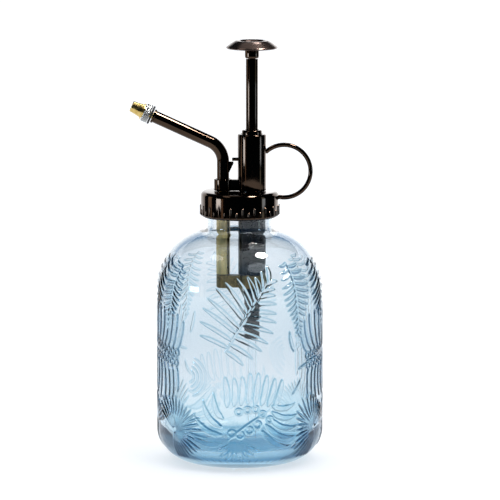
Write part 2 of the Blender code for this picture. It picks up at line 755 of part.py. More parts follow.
def spout():
    path = spout_path()
    body = solid_wire("spout", path, SPOUT_R, 4)
    collar = rod_along("spout_collar", SPOUT_R + GAP, SPOUT_REACH - 0.9 * MM, SPOUT_REACH, along_spout())
    join(body, collar)
    root_x = SPOUT_X + SPOUT_R * 0.6
    fin = bpy.data.curves.new("fin", "CURVE")
    fin.dimensions = "2D"
    fin.fill_mode = "BOTH"
    fin.extrude = FIN_W / 2
    corners = fin.splines.new("POLY")
    top = LATCH_Z - GAP
    outline = [
        (root_x, top),
        (root_x, top - FIN_DROP - 1 * MM),
        (SPOUT_X + SPOUT_R, top - FIN_DROP),
        (FIN_TIP_X, top - 1.2 * MM),
        (FIN_TIP_X, top),
    ]
    corners.points.add(len(outline) - 1)
    for point, (x, z) in zip(corners.points, outline):
        point.co = (x, z, 0, 1)
    corners.use_cyclic_u = True
    source = new_object("fin_curve", fin, CUTTERS, Matrix.Rotation(math.pi / 2, 4, "X"))
    join(body, as_mesh("spout_fin", source))
    inner = [path[0] - Vector((0, 0, OVERSHOOT))] + path[1:-1]
    inner.append(path[-1] + (path[-1] - path[-2]).normalized() * OVERSHOOT)
    cut(body, solid_wire("spout_bore", inner, SPOUT_BORE_R, 2))
    return finish_part(body, "dark_bronze")


def seat_washer():
    section = ring_profile(SPIGOT_TUBE_R + GAP, SEAT_WASHER_R, *SEAT_WASHER)
    return finish_part(turned("seat_washer", section, along_spout(), closed=True), "black_rubber")


def nozzle_spigot():
    section = ring_profile(SPIGOT_TUBE_BORE_R, SPIGOT_TUBE_R, *SPIGOT_TUBE)
    return finish_part(turned("nozzle_spigot", section, along_spout(), COARSE, closed=True), "brass")


def swirl_core():
    outline = [
        (0, CORE[1]),
        (CORE_R, CORE[1]),
        (CORE_R, CORE[0]),
        (CORE_TAIL_R, CORE[0]),
        (CORE_TAIL_R, CORE_TAIL_BACK),
        (0, CORE_TAIL_BACK),
    ]
    return finish_part(turned("swirl_core", outline, along_spout(), 12), "white_plastic")


def nozzle_cap():
    """The brass tip: a hub inside the grip ring, a tapered nose with a driver slot, and the orifice."""
    root = GRIP[1] + GAP
    outline = [
        (ORIFICE_R, NOZZLE_NOSE),
        (NOZZLE_NOSE_R - 0.2 * MM, NOZZLE_NOSE),
        (NOZZLE_NOSE_R, NOZZLE_NOSE - 0.3 * MM),
        (NOZZLE_ROOT_R, root + NOZZLE_FLANGE_T),
        (NOZZLE_FLANGE_R, root + NOZZLE_FLANGE_T),
        (NOZZLE_FLANGE_R, root),
        (NOZZLE_HUB_R, root),
        (NOZZLE_HUB_R, NOZZLE_BACK),
        (NOZZLE_BORE_R, NOZZLE_BACK),
        (NOZZLE_BORE_R, NOZZLE_CHAMBER_END),
        (ORIFICE_R, NOZZLE_CHAMBER_END),
    ]
    cap = turned("nozzle_cap", outline, along_spout(), COARSE, closed=True)
    low = (-KNOB_R, -SLOT_W / 2, NOZZLE_NOSE - SLOT_DEPTH)
    high = (KNOB_R, SLOT_W / 2, NOZZLE_NOSE + OVERSHOOT)
    turn = Matrix.Rotation(math.pi / 2, 4, "Z")
    cut(cap, box("nose_slot", low, high, along_spout() @ turn))
    return finish_part(cap, "brass")


def nozzle_grip():
    """A ring with upright teeth all round, made as a star outline with a hole and extruded."""
    curve = bpy.data.curves.new("nozzle_grip", "CURVE")
    curve.dimensions = "2D"
    curve.fill_mode = "BOTH"
    curve.extrude = (GRIP[1] - GRIP[0]) / 2
    for radii, count in (((GRIP_R, GRIP_R - TOOTH_H), 2 * GRIP_TEETH), ((GRIP_BORE_R,), GRIP_TEETH)):
        spline = curve.splines.new("POLY")
        spline.points.add(count - 1)
        for i, point in enumerate(spline.points):
            angle, radius = FULL_TURN * i / count, radii[i % len(radii)]
            point.co = (radius * math.cos(angle), radius * math.sin(angle), 0, 1)
        spline.use_cyclic_u = True
    place = along_spout() @ Matrix.Translation((0, 0, (GRIP[0] + GRIP[1]) / 2))
    return finish_part(new_object("nozzle_grip", curve, CUTTERS, place), "nickel")


# ---------------------------------------------------------------- assembly

def body_empty(name, location, children):
    """An empty on a moving body's axis, with that body's parts parented to it where they stand."""
    empty = bpy.data.objects.new(name, None)
    PARTS.objects.link(empty)
    empty.location = location
    empty.empty_display_size = 10 * MM
    bpy.context.view_layer.update()
    for child in children:
        child.parent = empty
        child.matrix_parent_inverse = empty.matrix_world.inverted()
    return empty


def build():
    corner = Vector((SPOUT_X, 0, SPOUT_CORNER_Z))
    bottle = body_empty("bottle_body", (0, 0, 0), [glass_bottle()])
    seal = body_empty("neck_seal_body", (0, 0, LIP_Z), [neck_gasket()])
    head = body_empty(
        "pump_head_body",
        (0, 0, DECK_Z),
        [
            screw_cap(),
            threaded_insert(),
            barrel_casing(),
            gland_nut(),
            ring_seal("rod_seal", *ROD_SEAL, PUMP_X),
            finger_loop(),
            pump_cylinder(),
            riser_tube(),
            valve_block(),
            intake_housing(),
            dip_tube(),
            return_spring(),
            spout(),
            ring_seal("spout_seal", *SPOUT_SEAL, SPOUT_X),
            seat_washer(),
            nozzle_spigot(),
        ],
    )
    plunger = body_empty(
        "plunger_body",
        (PUMP_X, 0, KNOB_UNDER_Z),
        [plunger_rod(), knob_collar(), knob(), piston(), piston_cup(), piston_nut()],
    )
    inlet = body_empty(
        "inlet_ball_body",
        (PUMP_X, 0, INLET_SEAT_Z),
        [valve_ball("inlet_ball", INLET_BALL_R, PUMP_X, INLET_SEAT_R, INLET_SEAT_Z)],
    )
    outlet = body_empty(
        "outlet_ball_body",
        (SPOUT_X, 0, BLOCK_TOP_Z),
        [valve_ball("outlet_ball", OUTLET_BALL_R, SPOUT_X, PASSAGE_R, BLOCK_TOP_Z)],
    )
    core = body_empty("swirl_core_body", corner, [swirl_core()])
    tip = body_empty("nozzle_body", corner, [nozzle_cap(), nozzle_grip()])
    tree = {seal: bottle, head: seal, plunger: head, inlet: head, outlet: head, core: head, tip: core}
    for child, parent in tree.items():
        child.parent = parent
        child.matrix_parent_inverse = parent.matrix_world.inverted()
    for used_up in list(CUTTERS.objects):
        bpy.data.objects.remove(used_up)


build()
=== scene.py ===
"""The looks of the hand mister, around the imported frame: embossed blue glass, bronze plating and brass."""

import json
import math

import bmesh
import bpy
import numpy as np
from mathutils import Matrix, Vector


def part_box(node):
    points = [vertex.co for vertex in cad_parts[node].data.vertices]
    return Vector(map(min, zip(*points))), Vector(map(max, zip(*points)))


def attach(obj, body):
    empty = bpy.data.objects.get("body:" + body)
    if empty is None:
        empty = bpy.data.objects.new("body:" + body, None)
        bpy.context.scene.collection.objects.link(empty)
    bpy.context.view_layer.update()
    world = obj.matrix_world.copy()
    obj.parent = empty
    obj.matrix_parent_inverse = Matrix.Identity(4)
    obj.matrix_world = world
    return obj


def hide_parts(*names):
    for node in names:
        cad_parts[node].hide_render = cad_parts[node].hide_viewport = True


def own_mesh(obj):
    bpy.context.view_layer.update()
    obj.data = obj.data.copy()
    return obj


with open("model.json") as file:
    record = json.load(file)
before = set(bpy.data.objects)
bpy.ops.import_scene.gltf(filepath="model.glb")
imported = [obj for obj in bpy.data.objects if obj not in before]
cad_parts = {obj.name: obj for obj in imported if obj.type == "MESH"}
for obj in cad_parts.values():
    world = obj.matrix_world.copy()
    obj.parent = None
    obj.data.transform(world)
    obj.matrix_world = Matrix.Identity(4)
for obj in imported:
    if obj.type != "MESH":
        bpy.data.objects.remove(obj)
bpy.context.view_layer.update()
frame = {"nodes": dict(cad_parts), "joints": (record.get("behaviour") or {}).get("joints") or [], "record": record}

MM = 0.001
TAU = 2 * math.pi
SLOT_OF = {part["node"]: part["material_slot"] for part in frame["record"]["subparts"]}
BODY_OF = {node: body for body, nodes in frame["record"]["behaviour"]["bodies"].items() for node in nodes}


# ---------------- places, all read from the frame

def node_box(node):
    """A node's lowest and highest corners, in millimetres."""
    low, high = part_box(node)
    return low / MM, high / MM


def foot_and_top(node):
    low, high = node_box(node)
    return low.z, high.z


def node_axis_x(node):
    low, high = node_box(node)
    return (low.x + high.x) / 2


PUMP_X = node_axis_x("pump_cylinder")
SPOUT_X = node_axis_x("riser_tube")
NOZZLE_JOINT = next(joint for joint in frame["joints"] if joint["name"] == "nozzle_turn")
SPOUT_CORNER = Vector(NOZZLE_JOINT["pos_m"]) / MM
SLOPE = Vector(NOZZLE_JOINT["axis"]).normalized()
BOTTLE_HIGH = node_box("glass_bottle")[1]
BODY_R = BOTTLE_HIGH.x
LIP_Z = BOTTLE_HIGH.z
CAP_LOW, CAP_HIGH = node_box("screw_cap")
DECK_Z = CAP_HIGH.z


def on_axis(x):
    return Matrix.Translation((x, 0, 0))


def along_spout():
    """Local +Z runs out along the spout's slope from its corner."""
    return Matrix.Translation(SPOUT_CORNER) @ SLOPE.to_track_quat("Z", "Y").to_matrix().to_4x4()


# ---------------- meshes, in millimetres until stored

SHARP, SHARP_WHERE_CUT = 40, 32     # degrees between faces from which an edge shows
ON_AXIS = 1e-6
WELD = 0.002 * MM
FILLET_STEP = math.radians(18)


def add_object(name, data):
    made = bpy.data.objects.new(name, data)
    bpy.context.scene.collection.objects.link(made)
    return made


def store(name, points, faces, matrix=Matrix.Identity(4), sharp=SHARP):
    """A mesh object in metres from points in millimetres, shaded smooth across its gentle edges."""
    mesh = bpy.data.meshes.new(name)
    turn = np.array(matrix)
    points = np.asarray(points, float) @ turn[:3, :3].T + turn[:3, 3]
    mesh.from_pydata((points * MM).tolist(), [], [list(map(int, face)) for face in faces])
    mesh.validate()
    mesh.shade_smooth()
    mesh.set_sharp_from_angle(angle=math.radians(sharp))
    return add_object(name, mesh)


def edit(mesh, change):
    """Changes a mesh by a function of its bmesh."""
    shape = bmesh.new()
    shape.from_mesh(mesh)
    change(shape)
    shape.to_mesh(mesh)
    shape.free()


def fix_normals(piece):
    """Turns every face outward, and returns the piece."""
    edit(piece.data, lambda shape: bmesh.ops.recalc_face_normals(shape, faces=shape.faces))
    return piece


def circle(radius, z, steps):
    """Points round the Z axis, counted from +X."""
    return [(radius * math.cos(TAU * k / steps), radius * math.sin(TAU * k / steps), z) for k in range(steps)]


def grid_faces(rows, columns, start=0):
    """Quads between rows of points, where each row is a closed ring."""
    index = start + np.arange(rows * columns).reshape(rows, columns)
    onward = np.roll(index, -1, 1)
    quads = np.stack([index[:-1], index[1:], onward[1:], onward[:-1]], 2)
    return quads.reshape(-1, 4).tolist()


def end_faces(rows, columns):
    """The first row, and the last one turned over: together they close a bar."""
    index = list(range(rows * columns))
    return [index[:columns], index[:-columns - 1:-1]]


def dress(piece, material, *nodes):
    """Gives a piece its material, and lets it stand for the CAD nodes on their body."""
    piece.data.materials.clear()
    piece.data.materials.append(material)
    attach(piece, BODY_OF[nodes[0]])
    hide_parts(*nodes)


def fillet(outline, closed):
    """Rounds the corners of (r, z) or (r, z, radius) points with short arcs."""
    count = len(outline)
    points = []
    for i, corner in enumerate(outline):
        here = Vector(corner[:2])
        radius = corner[2] if len(corner) > 2 else 0
        if radius <= 0 or (not closed and i in (0, count - 1)):
            points.append(tuple(here))
            continue
        before = Vector(outline[i - 1][:2])
        after = Vector(outline[(i + 1) % count][:2])
        back, onward = (before - here).normalized(), (after - here).normalized()
        half = back.angle(onward) / 2
        room = 0.49 * min((before - here).length, (after - here).length)
        reach = min(radius / math.tan(half), room)
        bend = reach * math.tan(half)
        centre = here + (back + onward).normalized() * bend / math.sin(half)
        start, end = here + back * reach - centre, here + onward * reach - centre
        sweep = math.atan2(start.cross(end), start.dot(end))
        steps = max(2, math.ceil(abs(sweep) / FILLET_STEP))
        for k in range(steps + 1):
            spoke = Matrix.Rotation(sweep * k / steps, 2) @ start
            points.append(tuple(centre + spoke))
    return points


def lathe(name, outline, matrix=Matrix.Identity(4), steps=96, closed=False):
    """A solid of revolution. An open outline starts at the top on the axis and ends below on it."""
    points, rings = [], []
    for r, z in fillet(outline, closed):
        start = len(points)
        if r < ON_AXIS:
            rings.append([start] * steps)
            points.append((0, 0, z))
        else:
            rings.append(list(range(start, start + steps)))
            points += circle(r, z, steps)
    faces = []
    for upper, lower in zip(rings, rings[1:] + rings[:1] if closed else rings[1:]):
        for k in range(steps):
            n = (k + 1) % steps
            face = list(dict.fromkeys((upper[k], lower[k], lower[n], upper[n])))
            if len(face) > 2:
                faces.append(face)
    return store(name, points, faces, matrix)


def turned(node, name, outline, material, x=PUMP_X, steps=96, closed=True):
    """A lathed piece on an upright axis, dressed for its node."""
    dress(lathe(name, outline, on_axis(x), steps, closed), material, node)


def tube(name, path, radius, sides, bore=0.0, round_end=0.0):
    """A round bar or pipe along a path in one plane Y = constant."""
    across = Vector((0, 1, 0))
    stations = []
    for i, place in enumerate(path):
        ahead = path[min(i + 1, len(path) - 1)] - path[max(i - 1, 0)]
        stations.append((place, ahead.normalized(), radius))

    def rounded(place, ahead, size, inward):
        """The stations of a rounded end, from its face inward."""
        full = ahead * inward * round_end
        return [
            (place + full * (1 - math.sin(t)), ahead, size - round_end * (1 - math.cos(t)))
            for t in (math.pi / 2, math.pi / 3, math.pi / 6)
        ]

    if round_end:
        last = rounded(*stations[-1], -1)
        stations = rounded(*stations[0], 1) + stations[1:-1] + last[::-1]
    if bore:
        stations += [(place, ahead, bore) for place, ahead, _ in reversed(stations)]
    points = []
    for place, ahead, size in stations:
        side = across.cross(ahead).normalized()
        for angle in (TAU * k / sides for k in range(sides)):
            points.append(place + size * (math.cos(angle) * across + math.sin(angle) * side))
    faces = grid_faces(len(stations), sides)
    if bore:
        last = len(points) - sides
        faces += [(last + k, k, (k + 1) % sides, last + (k + 1) % sides) for k in range(sides)]
    else:
        faces = end_faces(len(stations), sides) + faces
    return fix_normals(store(name, points, faces))


def block(name, low, high, bevel):
    """A box with rounded edges."""
    shape = bmesh.new()
    bmesh.ops.create_cube(shape, size=1.0)
    size, centre = Vector(high) - Vector(low), (Vector(high) + Vector(low)) / 2
    bmesh.ops.scale(shape, vec=size, verts=shape.verts)
    bmesh.ops.translate(shape, vec=centre, verts=shape.verts)
    bmesh.ops.bevel(shape, geom=shape.edges[:], offset=bevel, segments=3, profile=0.5, affect="EDGES")
    bmesh.ops.scale(shape, vec=(MM, MM, MM), verts=shape.verts)
    mesh = bpy.data.meshes.new(name)
    shape.to_mesh(mesh)
    shape.free()
    return add_object(name, mesh)


def combine(piece, others, operation="UNION"):
    """Joins or cuts with other objects, which are used up, and shades the result again."""
    for other in others:
        step = piece.modifiers.new("step", "BOOLEAN")
        step.operation = operation
        step.solver = "EXACT"
        step.object = other
    bpy.context.view_layer.update()
    graph = bpy.context.evaluated_depsgraph_get()
    mesh = bpy.data.meshes.new_from_object(piece.evaluated_get(graph))
    piece.modifiers.clear()
    piece.data = mesh
    for other in others:
        bpy.data.objects.remove(other)
    edit(mesh, lambda shape: bmesh.ops.remove_doubles(shape, verts=shape.verts, dist=WELD))
    mesh.shade_smooth()
    mesh.set_sharp_from_angle(angle=math.radians(SHARP_WHERE_CUT))


# ---------------- materials

WHITE = (1.0, 1.0, 1.0)
NOISE_SPAN = (0.3, 0.7)     # where most of a noise texture's values lie


def new_material(name):
    made = bpy.data.materials.new(name)
    made.use_nodes = True
    return made, made.node_tree, made.node_tree.nodes["Principled BSDF"]


def set_inputs(node, values):
    for name, value in values.items():
        node.inputs[name].default_value = value


def coordinate(tree, space, axis):
    """One axis of the object's own space ("Object") or of a direction into the world ("Generated")."""
    place = tree.nodes.new("ShaderNodeTexCoord")
    split = tree.nodes.new("ShaderNodeSeparateXYZ")
    tree.links.new(place.outputs[space], split.inputs[0])
    return split.outputs[axis]


def noise_value(tree, scale, detail=3.0):
    """Noise in the object's own space."""
    place = tree.nodes.new("ShaderNodeTexCoord")
    pattern = tree.nodes.new("ShaderNodeTexNoise")
    set_inputs(pattern, {"Scale": scale, "Detail": detail})
    tree.links.new(place.outputs["Object"], pattern.inputs["Vector"])
    return pattern.outputs["Fac"]


def map_range(tree, value, source, target=(0.0, 1.0), interpolation="LINEAR"):
    span = tree.nodes.new("ShaderNodeMapRange")
    span.interpolation_type = interpolation
    set_inputs(span, dict(zip(("From Min", "From Max", "To Min", "To Max"), (*source, *target))))
    tree.links.new(value, span.inputs["Value"])
    return span.outputs["Result"]


def colour_ramp(tree, value, stops):
    """A ramp over a value from 0 to 1. The stops are (position, colour), in rising order."""
    ramp = tree.nodes.new("ShaderNodeValToRGB")
    elements = ramp.color_ramp.elements
    for element, (position, colour) in zip(elements, (stops[0], stops[-1])):
        element.position, element.color = position, (*colour, 1)
    for position, colour in stops[1:-1]:
        elements.new(position).color = (*colour, 1)
    tree.links.new(value, ramp.inputs["Fac"])
    return ramp.outputs["Color"]


def multiply(tree, first, second):
    mix = tree.nodes.new("ShaderNodeMix")
    mix.data_type = "RGBA"
    mix.blend_type = "MULTIPLY"
    set_inputs(mix, {"Factor": 1.0})
    tree.links.new(first, mix.inputs["A"])
    tree.links.new(second, mix.inputs["B"])
    return mix.outputs["Result"]


def add_bump(tree, shader, height, distance):
    bump = tree.nodes.new("ShaderNodeBump")
    set_inputs(bump, {"Distance": distance * MM, "Strength": 1.0})
    tree.links.new(height, bump.inputs["Height"])
    tree.links.new(bump.outputs["Normal"], shader.inputs["Normal"])


def mottled(name, dark, light, rough, scales, grain, metallic):
    """Colour, gloss and fine relief that vary with noise. The scales are those of the three noises."""
    made, tree, shader = new_material(name)
    cloud, gloss, fine = scales
    colour = colour_ramp(tree, noise_value(tree, cloud), list(zip(NOISE_SPAN, (dark, light))))
    tree.links.new(colour, shader.inputs["Base Color"])
    set_inputs(shader, {"Metallic": metallic})
    roughness = map_range(tree, noise_value(tree, gloss), NOISE_SPAN, rough)
    tree.links.new(roughness, shader.inputs["Roughness"])
    if grain:
        add_bump(tree, shader, noise_value(tree, fine), grain)
    return made, shader


def plated(name, dark, light, rough):
    """Mirror-bright plating over moulded plastic: cloudy colour, faint orange peel and soft smears."""
    return mottled(name, dark, light, rough, (60, 140, 420), 0.006, 1.0)[0]


def turned_brass():
    dark, light = (0.50, 0.35, 0.11), (0.68, 0.51, 0.20)
    return mottled("turned_brass", dark, light, (0.14, 0.30), (500, 900, 1800), 0.012, 1.0)[0]


def plain_metal(name, dark, light, rough):
    return mottled(name, dark, light, rough, (300, 700, 0), 0.0, 1.0)[0]


def plastic(name, dark, light, rough, grain=0.02):
    made, shader = mottled(name, dark, light, rough, (180, 260, 1400), grain, 0.0)
    set_inputs(shader, {"Specular IOR Level": 0.3})
    return made


def clear_plastic():
    """The dip tube's plastic, which bends light so little that it hardly shows behind the glass."""
    made = plastic("clear_plastic", (0.95, 0.97, 0.98), (0.98, 0.99, 1.0), (0.02, 0.05), 0.003)
    set_inputs(made.node_tree.nodes["Principled BSDF"], {"Transmission Weight": 1.0, "IOR": 1.12})
    return made


def blue_glass():
    """Pale blue glass, deeper towards the foot, with absorption inside it. Its colour also holds painted shade
    along the leaves' edges, a painted dark band low on the foot and a painted glow just above the floor.
    """
    made, tree, shader = new_material("blue_glass")
    height = coordinate(tree, "Object", "Z")
    climb = colour_ramp(tree, map_range(tree, height, (0.004, 0.095)), [
        (0.0, (0.52, 0.72, 0.80)), (0.04, (0.58, 0.78, 0.84)), (0.07, (0.95, 1.0, 1.0)),
        (0.20, (0.89, 0.93, 0.93)), (0.38, (0.94, 0.915, 0.90)), (0.60, (0.865, 0.87, 0.87)),
        (0.85, (0.935, 0.93, 0.92)), (1.0, (1.0, 0.965, 0.945)),
    ])
    # Painted shade: a dark blue band on the glass about 5 to 7 mm above the floor.
    painted_foot_shade = colour_ramp(tree, map_range(tree, height, (0.0, 0.008)), [
        (0.56, WHITE), (0.68, (0.22, 0.46, 0.64)), (0.78, (0.24, 0.48, 0.66)), (0.96, WHITE),
    ])
    # Painted shade: the glass darkens along the leaves' flanks, read from a mesh attribute, most to the left and
    # right and by the foot.
    painted_leaf_shade = tree.nodes.new("ShaderNodeAttribute")
    painted_leaf_shade.attribute_name = "painted_leaf_shade"
    edges = colour_ramp(tree, painted_leaf_shade.outputs["Fac"], [
        (0.0, WHITE), (0.35, (0.50, 0.75, 0.86)), (1.0, (0.004, 0.06, 0.16)),
    ])
    colour = multiply(tree, multiply(tree, climb, painted_foot_shade), edges)
    tree.links.new(colour, shader.inputs["Base Color"])
    set_inputs(shader, {"Roughness": 0.0, "IOR": 1.5, "Transmission Weight": 1.0})
    # Painted light: the glass itself glows pale in its lowest few millimetres, fading out by about 5 mm.
    set_inputs(shader, {"Emission Color": (0.76, 0.92, 0.92, 1)})
    painted_foot_light = map_range(tree, height, (0.0040, 0.0052), (0.19, 0.0))
    tree.links.new(painted_foot_light, shader.inputs["Emission Strength"])
    body = tree.nodes.new("ShaderNodeVolumeAbsorption")
    set_inputs(body, {"Color": (0.17, 0.53, 0.76, 1), "Density": 62.0})
    tree.links.new(body.outputs["Volume"], tree.nodes["Material Output"].inputs["Volume"])
    add_bump(tree, shader, noise_value(tree, 55, detail=1.5), 0.05)
    return made


BRONZE = plated("dark_bronze", (0.040, 0.026, 0.018), (0.062, 0.040, 0.027), (0.05, 0.10))
SATIN_BRONZE = plated("satin_bronze", (0.085, 0.058, 0.048), (0.115, 0.080, 0.067), (0.20, 0.27))
AGED_BRONZE = plated("aged_bronze", (0.14, 0.10, 0.045), (0.22, 0.165, 0.075), (0.22, 0.32))
OLIVE_BRONZE = plated("olive_bronze", (0.36, 0.27, 0.11), (0.58, 0.46, 0.21), (0.25, 0.36))
BRASS = turned_brass()
NICKEL = plain_metal("nickel", (0.36, 0.36, 0.35), (0.50, 0.50, 0.48), (0.22, 0.38))
STEEL = plain_metal("steel", (0.48, 0.48, 0.49), (0.64, 0.64, 0.65), (0.18, 0.30))
RUBBER = plastic("black_rubber", (0.012, 0.012, 0.012), (0.022, 0.022, 0.023), (0.5, 0.7))
BLACK_PLASTIC = plastic("black_plastic", (0.004, 0.004, 0.005), (0.009, 0.009, 0.011), (0.16, 0.3), 0.01)
WHITE_PLASTIC = plastic("white_plastic", (0.74, 0.74, 0.71), (0.84, 0.84, 0.81), (0.35, 0.5))
CLEAR_PLASTIC = clear_plastic()
GLASS = blue_glass()
CAD_MATERIALS = {
    "dark_bronze": BRONZE, "brass": BRASS, "nickel": NICKEL, "steel": STEEL, "black_rubber": RUBBER,
    "black_plastic": BLACK_PLASTIC, "white_plastic": WHITE_PLASTIC, "clear_plastic": CLEAR_PLASTIC,
    "blue_glass": GLASS,
}


# ---------------- leaf relief, as blades laid on the glass
# Places are (u, z): u is the distance round the wall from the front, and z is the height.

BLADES = []     # (centre line points, half width, height, tip sharpness)
LOOPS = []      # raised ring beads: (centre u, centre z, radius, half width, height)


def bezier(start, control, end, steps=9):
    start, control, end = Vector(start), Vector(control), Vector(end)
    line = []
    for i in range(steps + 1):
        t = i / steps
        line.append(start * (1 - t) ** 2 + control * 2 * t * (1 - t) + end * t * t)
    return line


def towards(angle):
    """One step at an angle in degrees on the unrolled wall."""
    return Vector((math.cos(math.radians(angle)), math.sin(math.radians(angle))))


def blade(start, angle, length, width, bow=0.0, tip=0.6):
    """A leaflet from a point, at an angle in degrees on the unrolled wall, bowed sideways."""
    ahead = towards(angle)
    side = Vector((-ahead.y, ahead.x))
    start = Vector(start)
    end = start + ahead * length
    control = start + ahead * length * 0.5 + side * bow
    BLADES.append((bezier(start, control, end), width / 2, 1.0, tip))


def frond(base, tip, sag, count, lengths, angles, width):
    """A palm frond: a midrib with leaflets on both sides, leaning further forward towards its tip."""
    steps, bow = 40, 1.2
    base, tip = Vector(base), Vector(tip)
    side = Vector((-(tip - base).y, (tip - base).x)).normalized()
    rib = bezier(base, (base + tip) / 2 + side * sag, tip, steps)
    BLADES.append((rib[::4], 0.55, 1.0, 0.3))
    for hand, longest in zip((1, -1), lengths):
        for i in range(count):
            t = (i + 0.5 + 0.25 * hand) / count
            place = min(int(t * steps), steps - 1)
            ahead = rib[place + 1] - rib[place]
            heading = math.degrees(math.atan2(ahead.y, ahead.x))
            lean = angles[0] + (angles[1] - angles[0]) * t
            size = longest * (0.72 + 0.56 * math.sin(math.pi * min(1, t * 1.25))) * (1 - 0.45 * t * t)
            blade(rib[place], heading + hand * lean, size, width, bow=-hand * bow)


def fan(centre, radius, start, end, count, width):
    """A fan palm: narrow blades from one point."""
    heart, bow = 1.6, 0.6
    for i in range(count):
        angle = start + (end - start) * i / (count - 1)
        size = radius * (0.86 + 0.14 * math.cos(math.radians(angle * 3)))
        lean = bow * (1 if i < count / 2 else -1)
        blade(Vector(centre) + heart * towards(angle), angle, size, width, bow=lean)


def monstera(base, tip, fingers, reach, width, bow):
    """A split leaf: broad fingers on both sides of a midrib, with a round hole at the root of each."""
    base, tip = Vector(base), Vector(tip)
    line = tip - base
    heading = math.degrees(math.atan2(line.y, line.x))
    side = Vector((-line.y, line.x)).normalized()
    BLADES.append((bezier(base, (base + tip) / 2 + side * 0.8, tip), 0.5, 1.0, 0.3))
    hole, root = 2.6, 4.6       # distances from the midrib
    for hand in (1, -1):
        for i in range(fingers):
            t = (i + 0.5) / fingers
            place = base + line * t
            angle = heading + hand * (98 - 22 * t)
            out = towards(angle)
            size = reach * (0.75 + 0.5 * math.sin(math.pi * (0.15 + 0.75 * t)))
            sway = math.sin(7.3 * i + 2.1 * hand + 0.1 * base.y)
            lean = 0.8 * sway - hand * bow
            blade(place + out * root, angle + 3 * sway, size - root + sway, width, bow=lean, tip=0.4)
            LOOPS.append((*(place + out * hole), 1.35, 0.42, 0.9))


def curl(start, control, end, width):
    BLADES.append((bezier(start, control, end, 12), width / 2, 1.0, 0.95))


def swirl(centre, radii, start, end, width):
    """Nested arcs, like the curled lobes of a leaf."""
    for radius in radii:
        line = [Vector(p) for p in arc_points(centre, radius, start, end, 13)]
        BLADES.append((line, width / 2, 0.45, 0.3))


def arc_points(centre, radius, start, end, steps):
    """Points on an arc between two angles in degrees."""
    angles = np.radians(np.linspace(start, end, steps + 1))
    return [(centre[0] + radius * math.cos(a), centre[1] + radius * math.sin(a)) for a in angles]


def lay_out_leaves(turn):
    """One half of the mould's design. The other half is the same, half a turn round."""
    def at(u, z):
        return (u + turn, z)

    frond(at(-6.5, 59), at(15, 93), 1.5, 11, (17.5, 13.5), (102, 34), 1.75)
    frond(at(26.5, 100), at(31, 66), 1.5, 13, (9.0, 6.5), (88, 36), 1.05)
    frond(at(-33, 98), at(-40, 67), -1.0, 13, (5.0, 9.0), (92, 40), 1.15)
    frond(at(-46, 102), at(-58, 70), -2.0, 12, (7.0, 9.0), (88, 40), 1.2)
    frond(at(48, 100), at(54, 68), 2.0, 12, (7.0, 9.0), (88, 40), 1.2)
    monstera(at(-61, 57), at(-33, 54), 8, 18.5, 2.2, 1.0)
    monstera(at(62, 56), at(37, 52), 7, 17.5, 2.2, 1.2)
    for i in range(8):
        sway = math.sin(5.1 * i)
        start = at(-6.0 + 3.3 * i, 34.3 - abs(i - 3) * 0.5)
        blade(start, 94 - 3.0 * i + sway, 14.0 + sway, 2.7, bow=-0.9 + 0.4 * sway, tip=0.4)
    for u, z in ((-0.4, 30.2), (3.8, 31.1), (7.6, 31.3), (11.0, 28.8), (14.6, 26.0)):
        LOOPS.append((*at(u, z), 1.5, 0.42, 0.9))
    for u, z in ((-3.6, 19.6), (0.2, 19.0), (4.6, 21.2), (8.4, 23.8)):
        LOOPS.append((*at(u, z), 1.7, 0.42, 1.0))
    curl(at(-6, 16), at(3, 24), at(15, 31), 1.0)
    for near, bend, far in (
        ((13, 23.5), (19, 15), (29, 17)),
        ((15, 26.5), (21, 19), (30.5, 22)),
        ((16, 29.5), (22, 24), (30.5, 27.5)),
        ((16, 32.5), (22, 29), (29, 33)),
        ((11, 20.5), (17, 11.5), (26, 12.5)),
        ((-8, 27), (-13, 30), (-12.5, 40)),
        ((-9, 23), (-17, 26), (-18, 36)),
        ((-9, 19), (-18, 19), (-23, 28)),
        ((-9, 15), (-17, 12), (-24, 18)),
    ):
        curl(at(*near), at(*bend), at(*far), 2.5)
    fan(at(-1, 16), 11.5, 205, 335, 9, 1.6)
    swirl(at(-26, 46), (3.0, 5.2, 7.4, 9.6), -75, 70, 1.0)
    fan(at(-35.5, 19), 18.0, -100, 150, 25, 1.25)
    fan(at(-57, 20), 14.0, 20, 250, 15, 1.6)
    fan(at(43.5, 19), 17.0, 20, 270, 23, 1.25)
    blade(at(31, 49), 18, 7.5, 1.0)
    blade(at(27, 37), 52, 9.0, 1.0, bow=-1)
    blade(at(28, 58), 105, 10.0, 1.6, bow=1.0)


RELIEF_H = 0.48         # how far the leaves stand out, mm
RELIEF_EDGE = 0.42      # width of the slope round each blade, mm


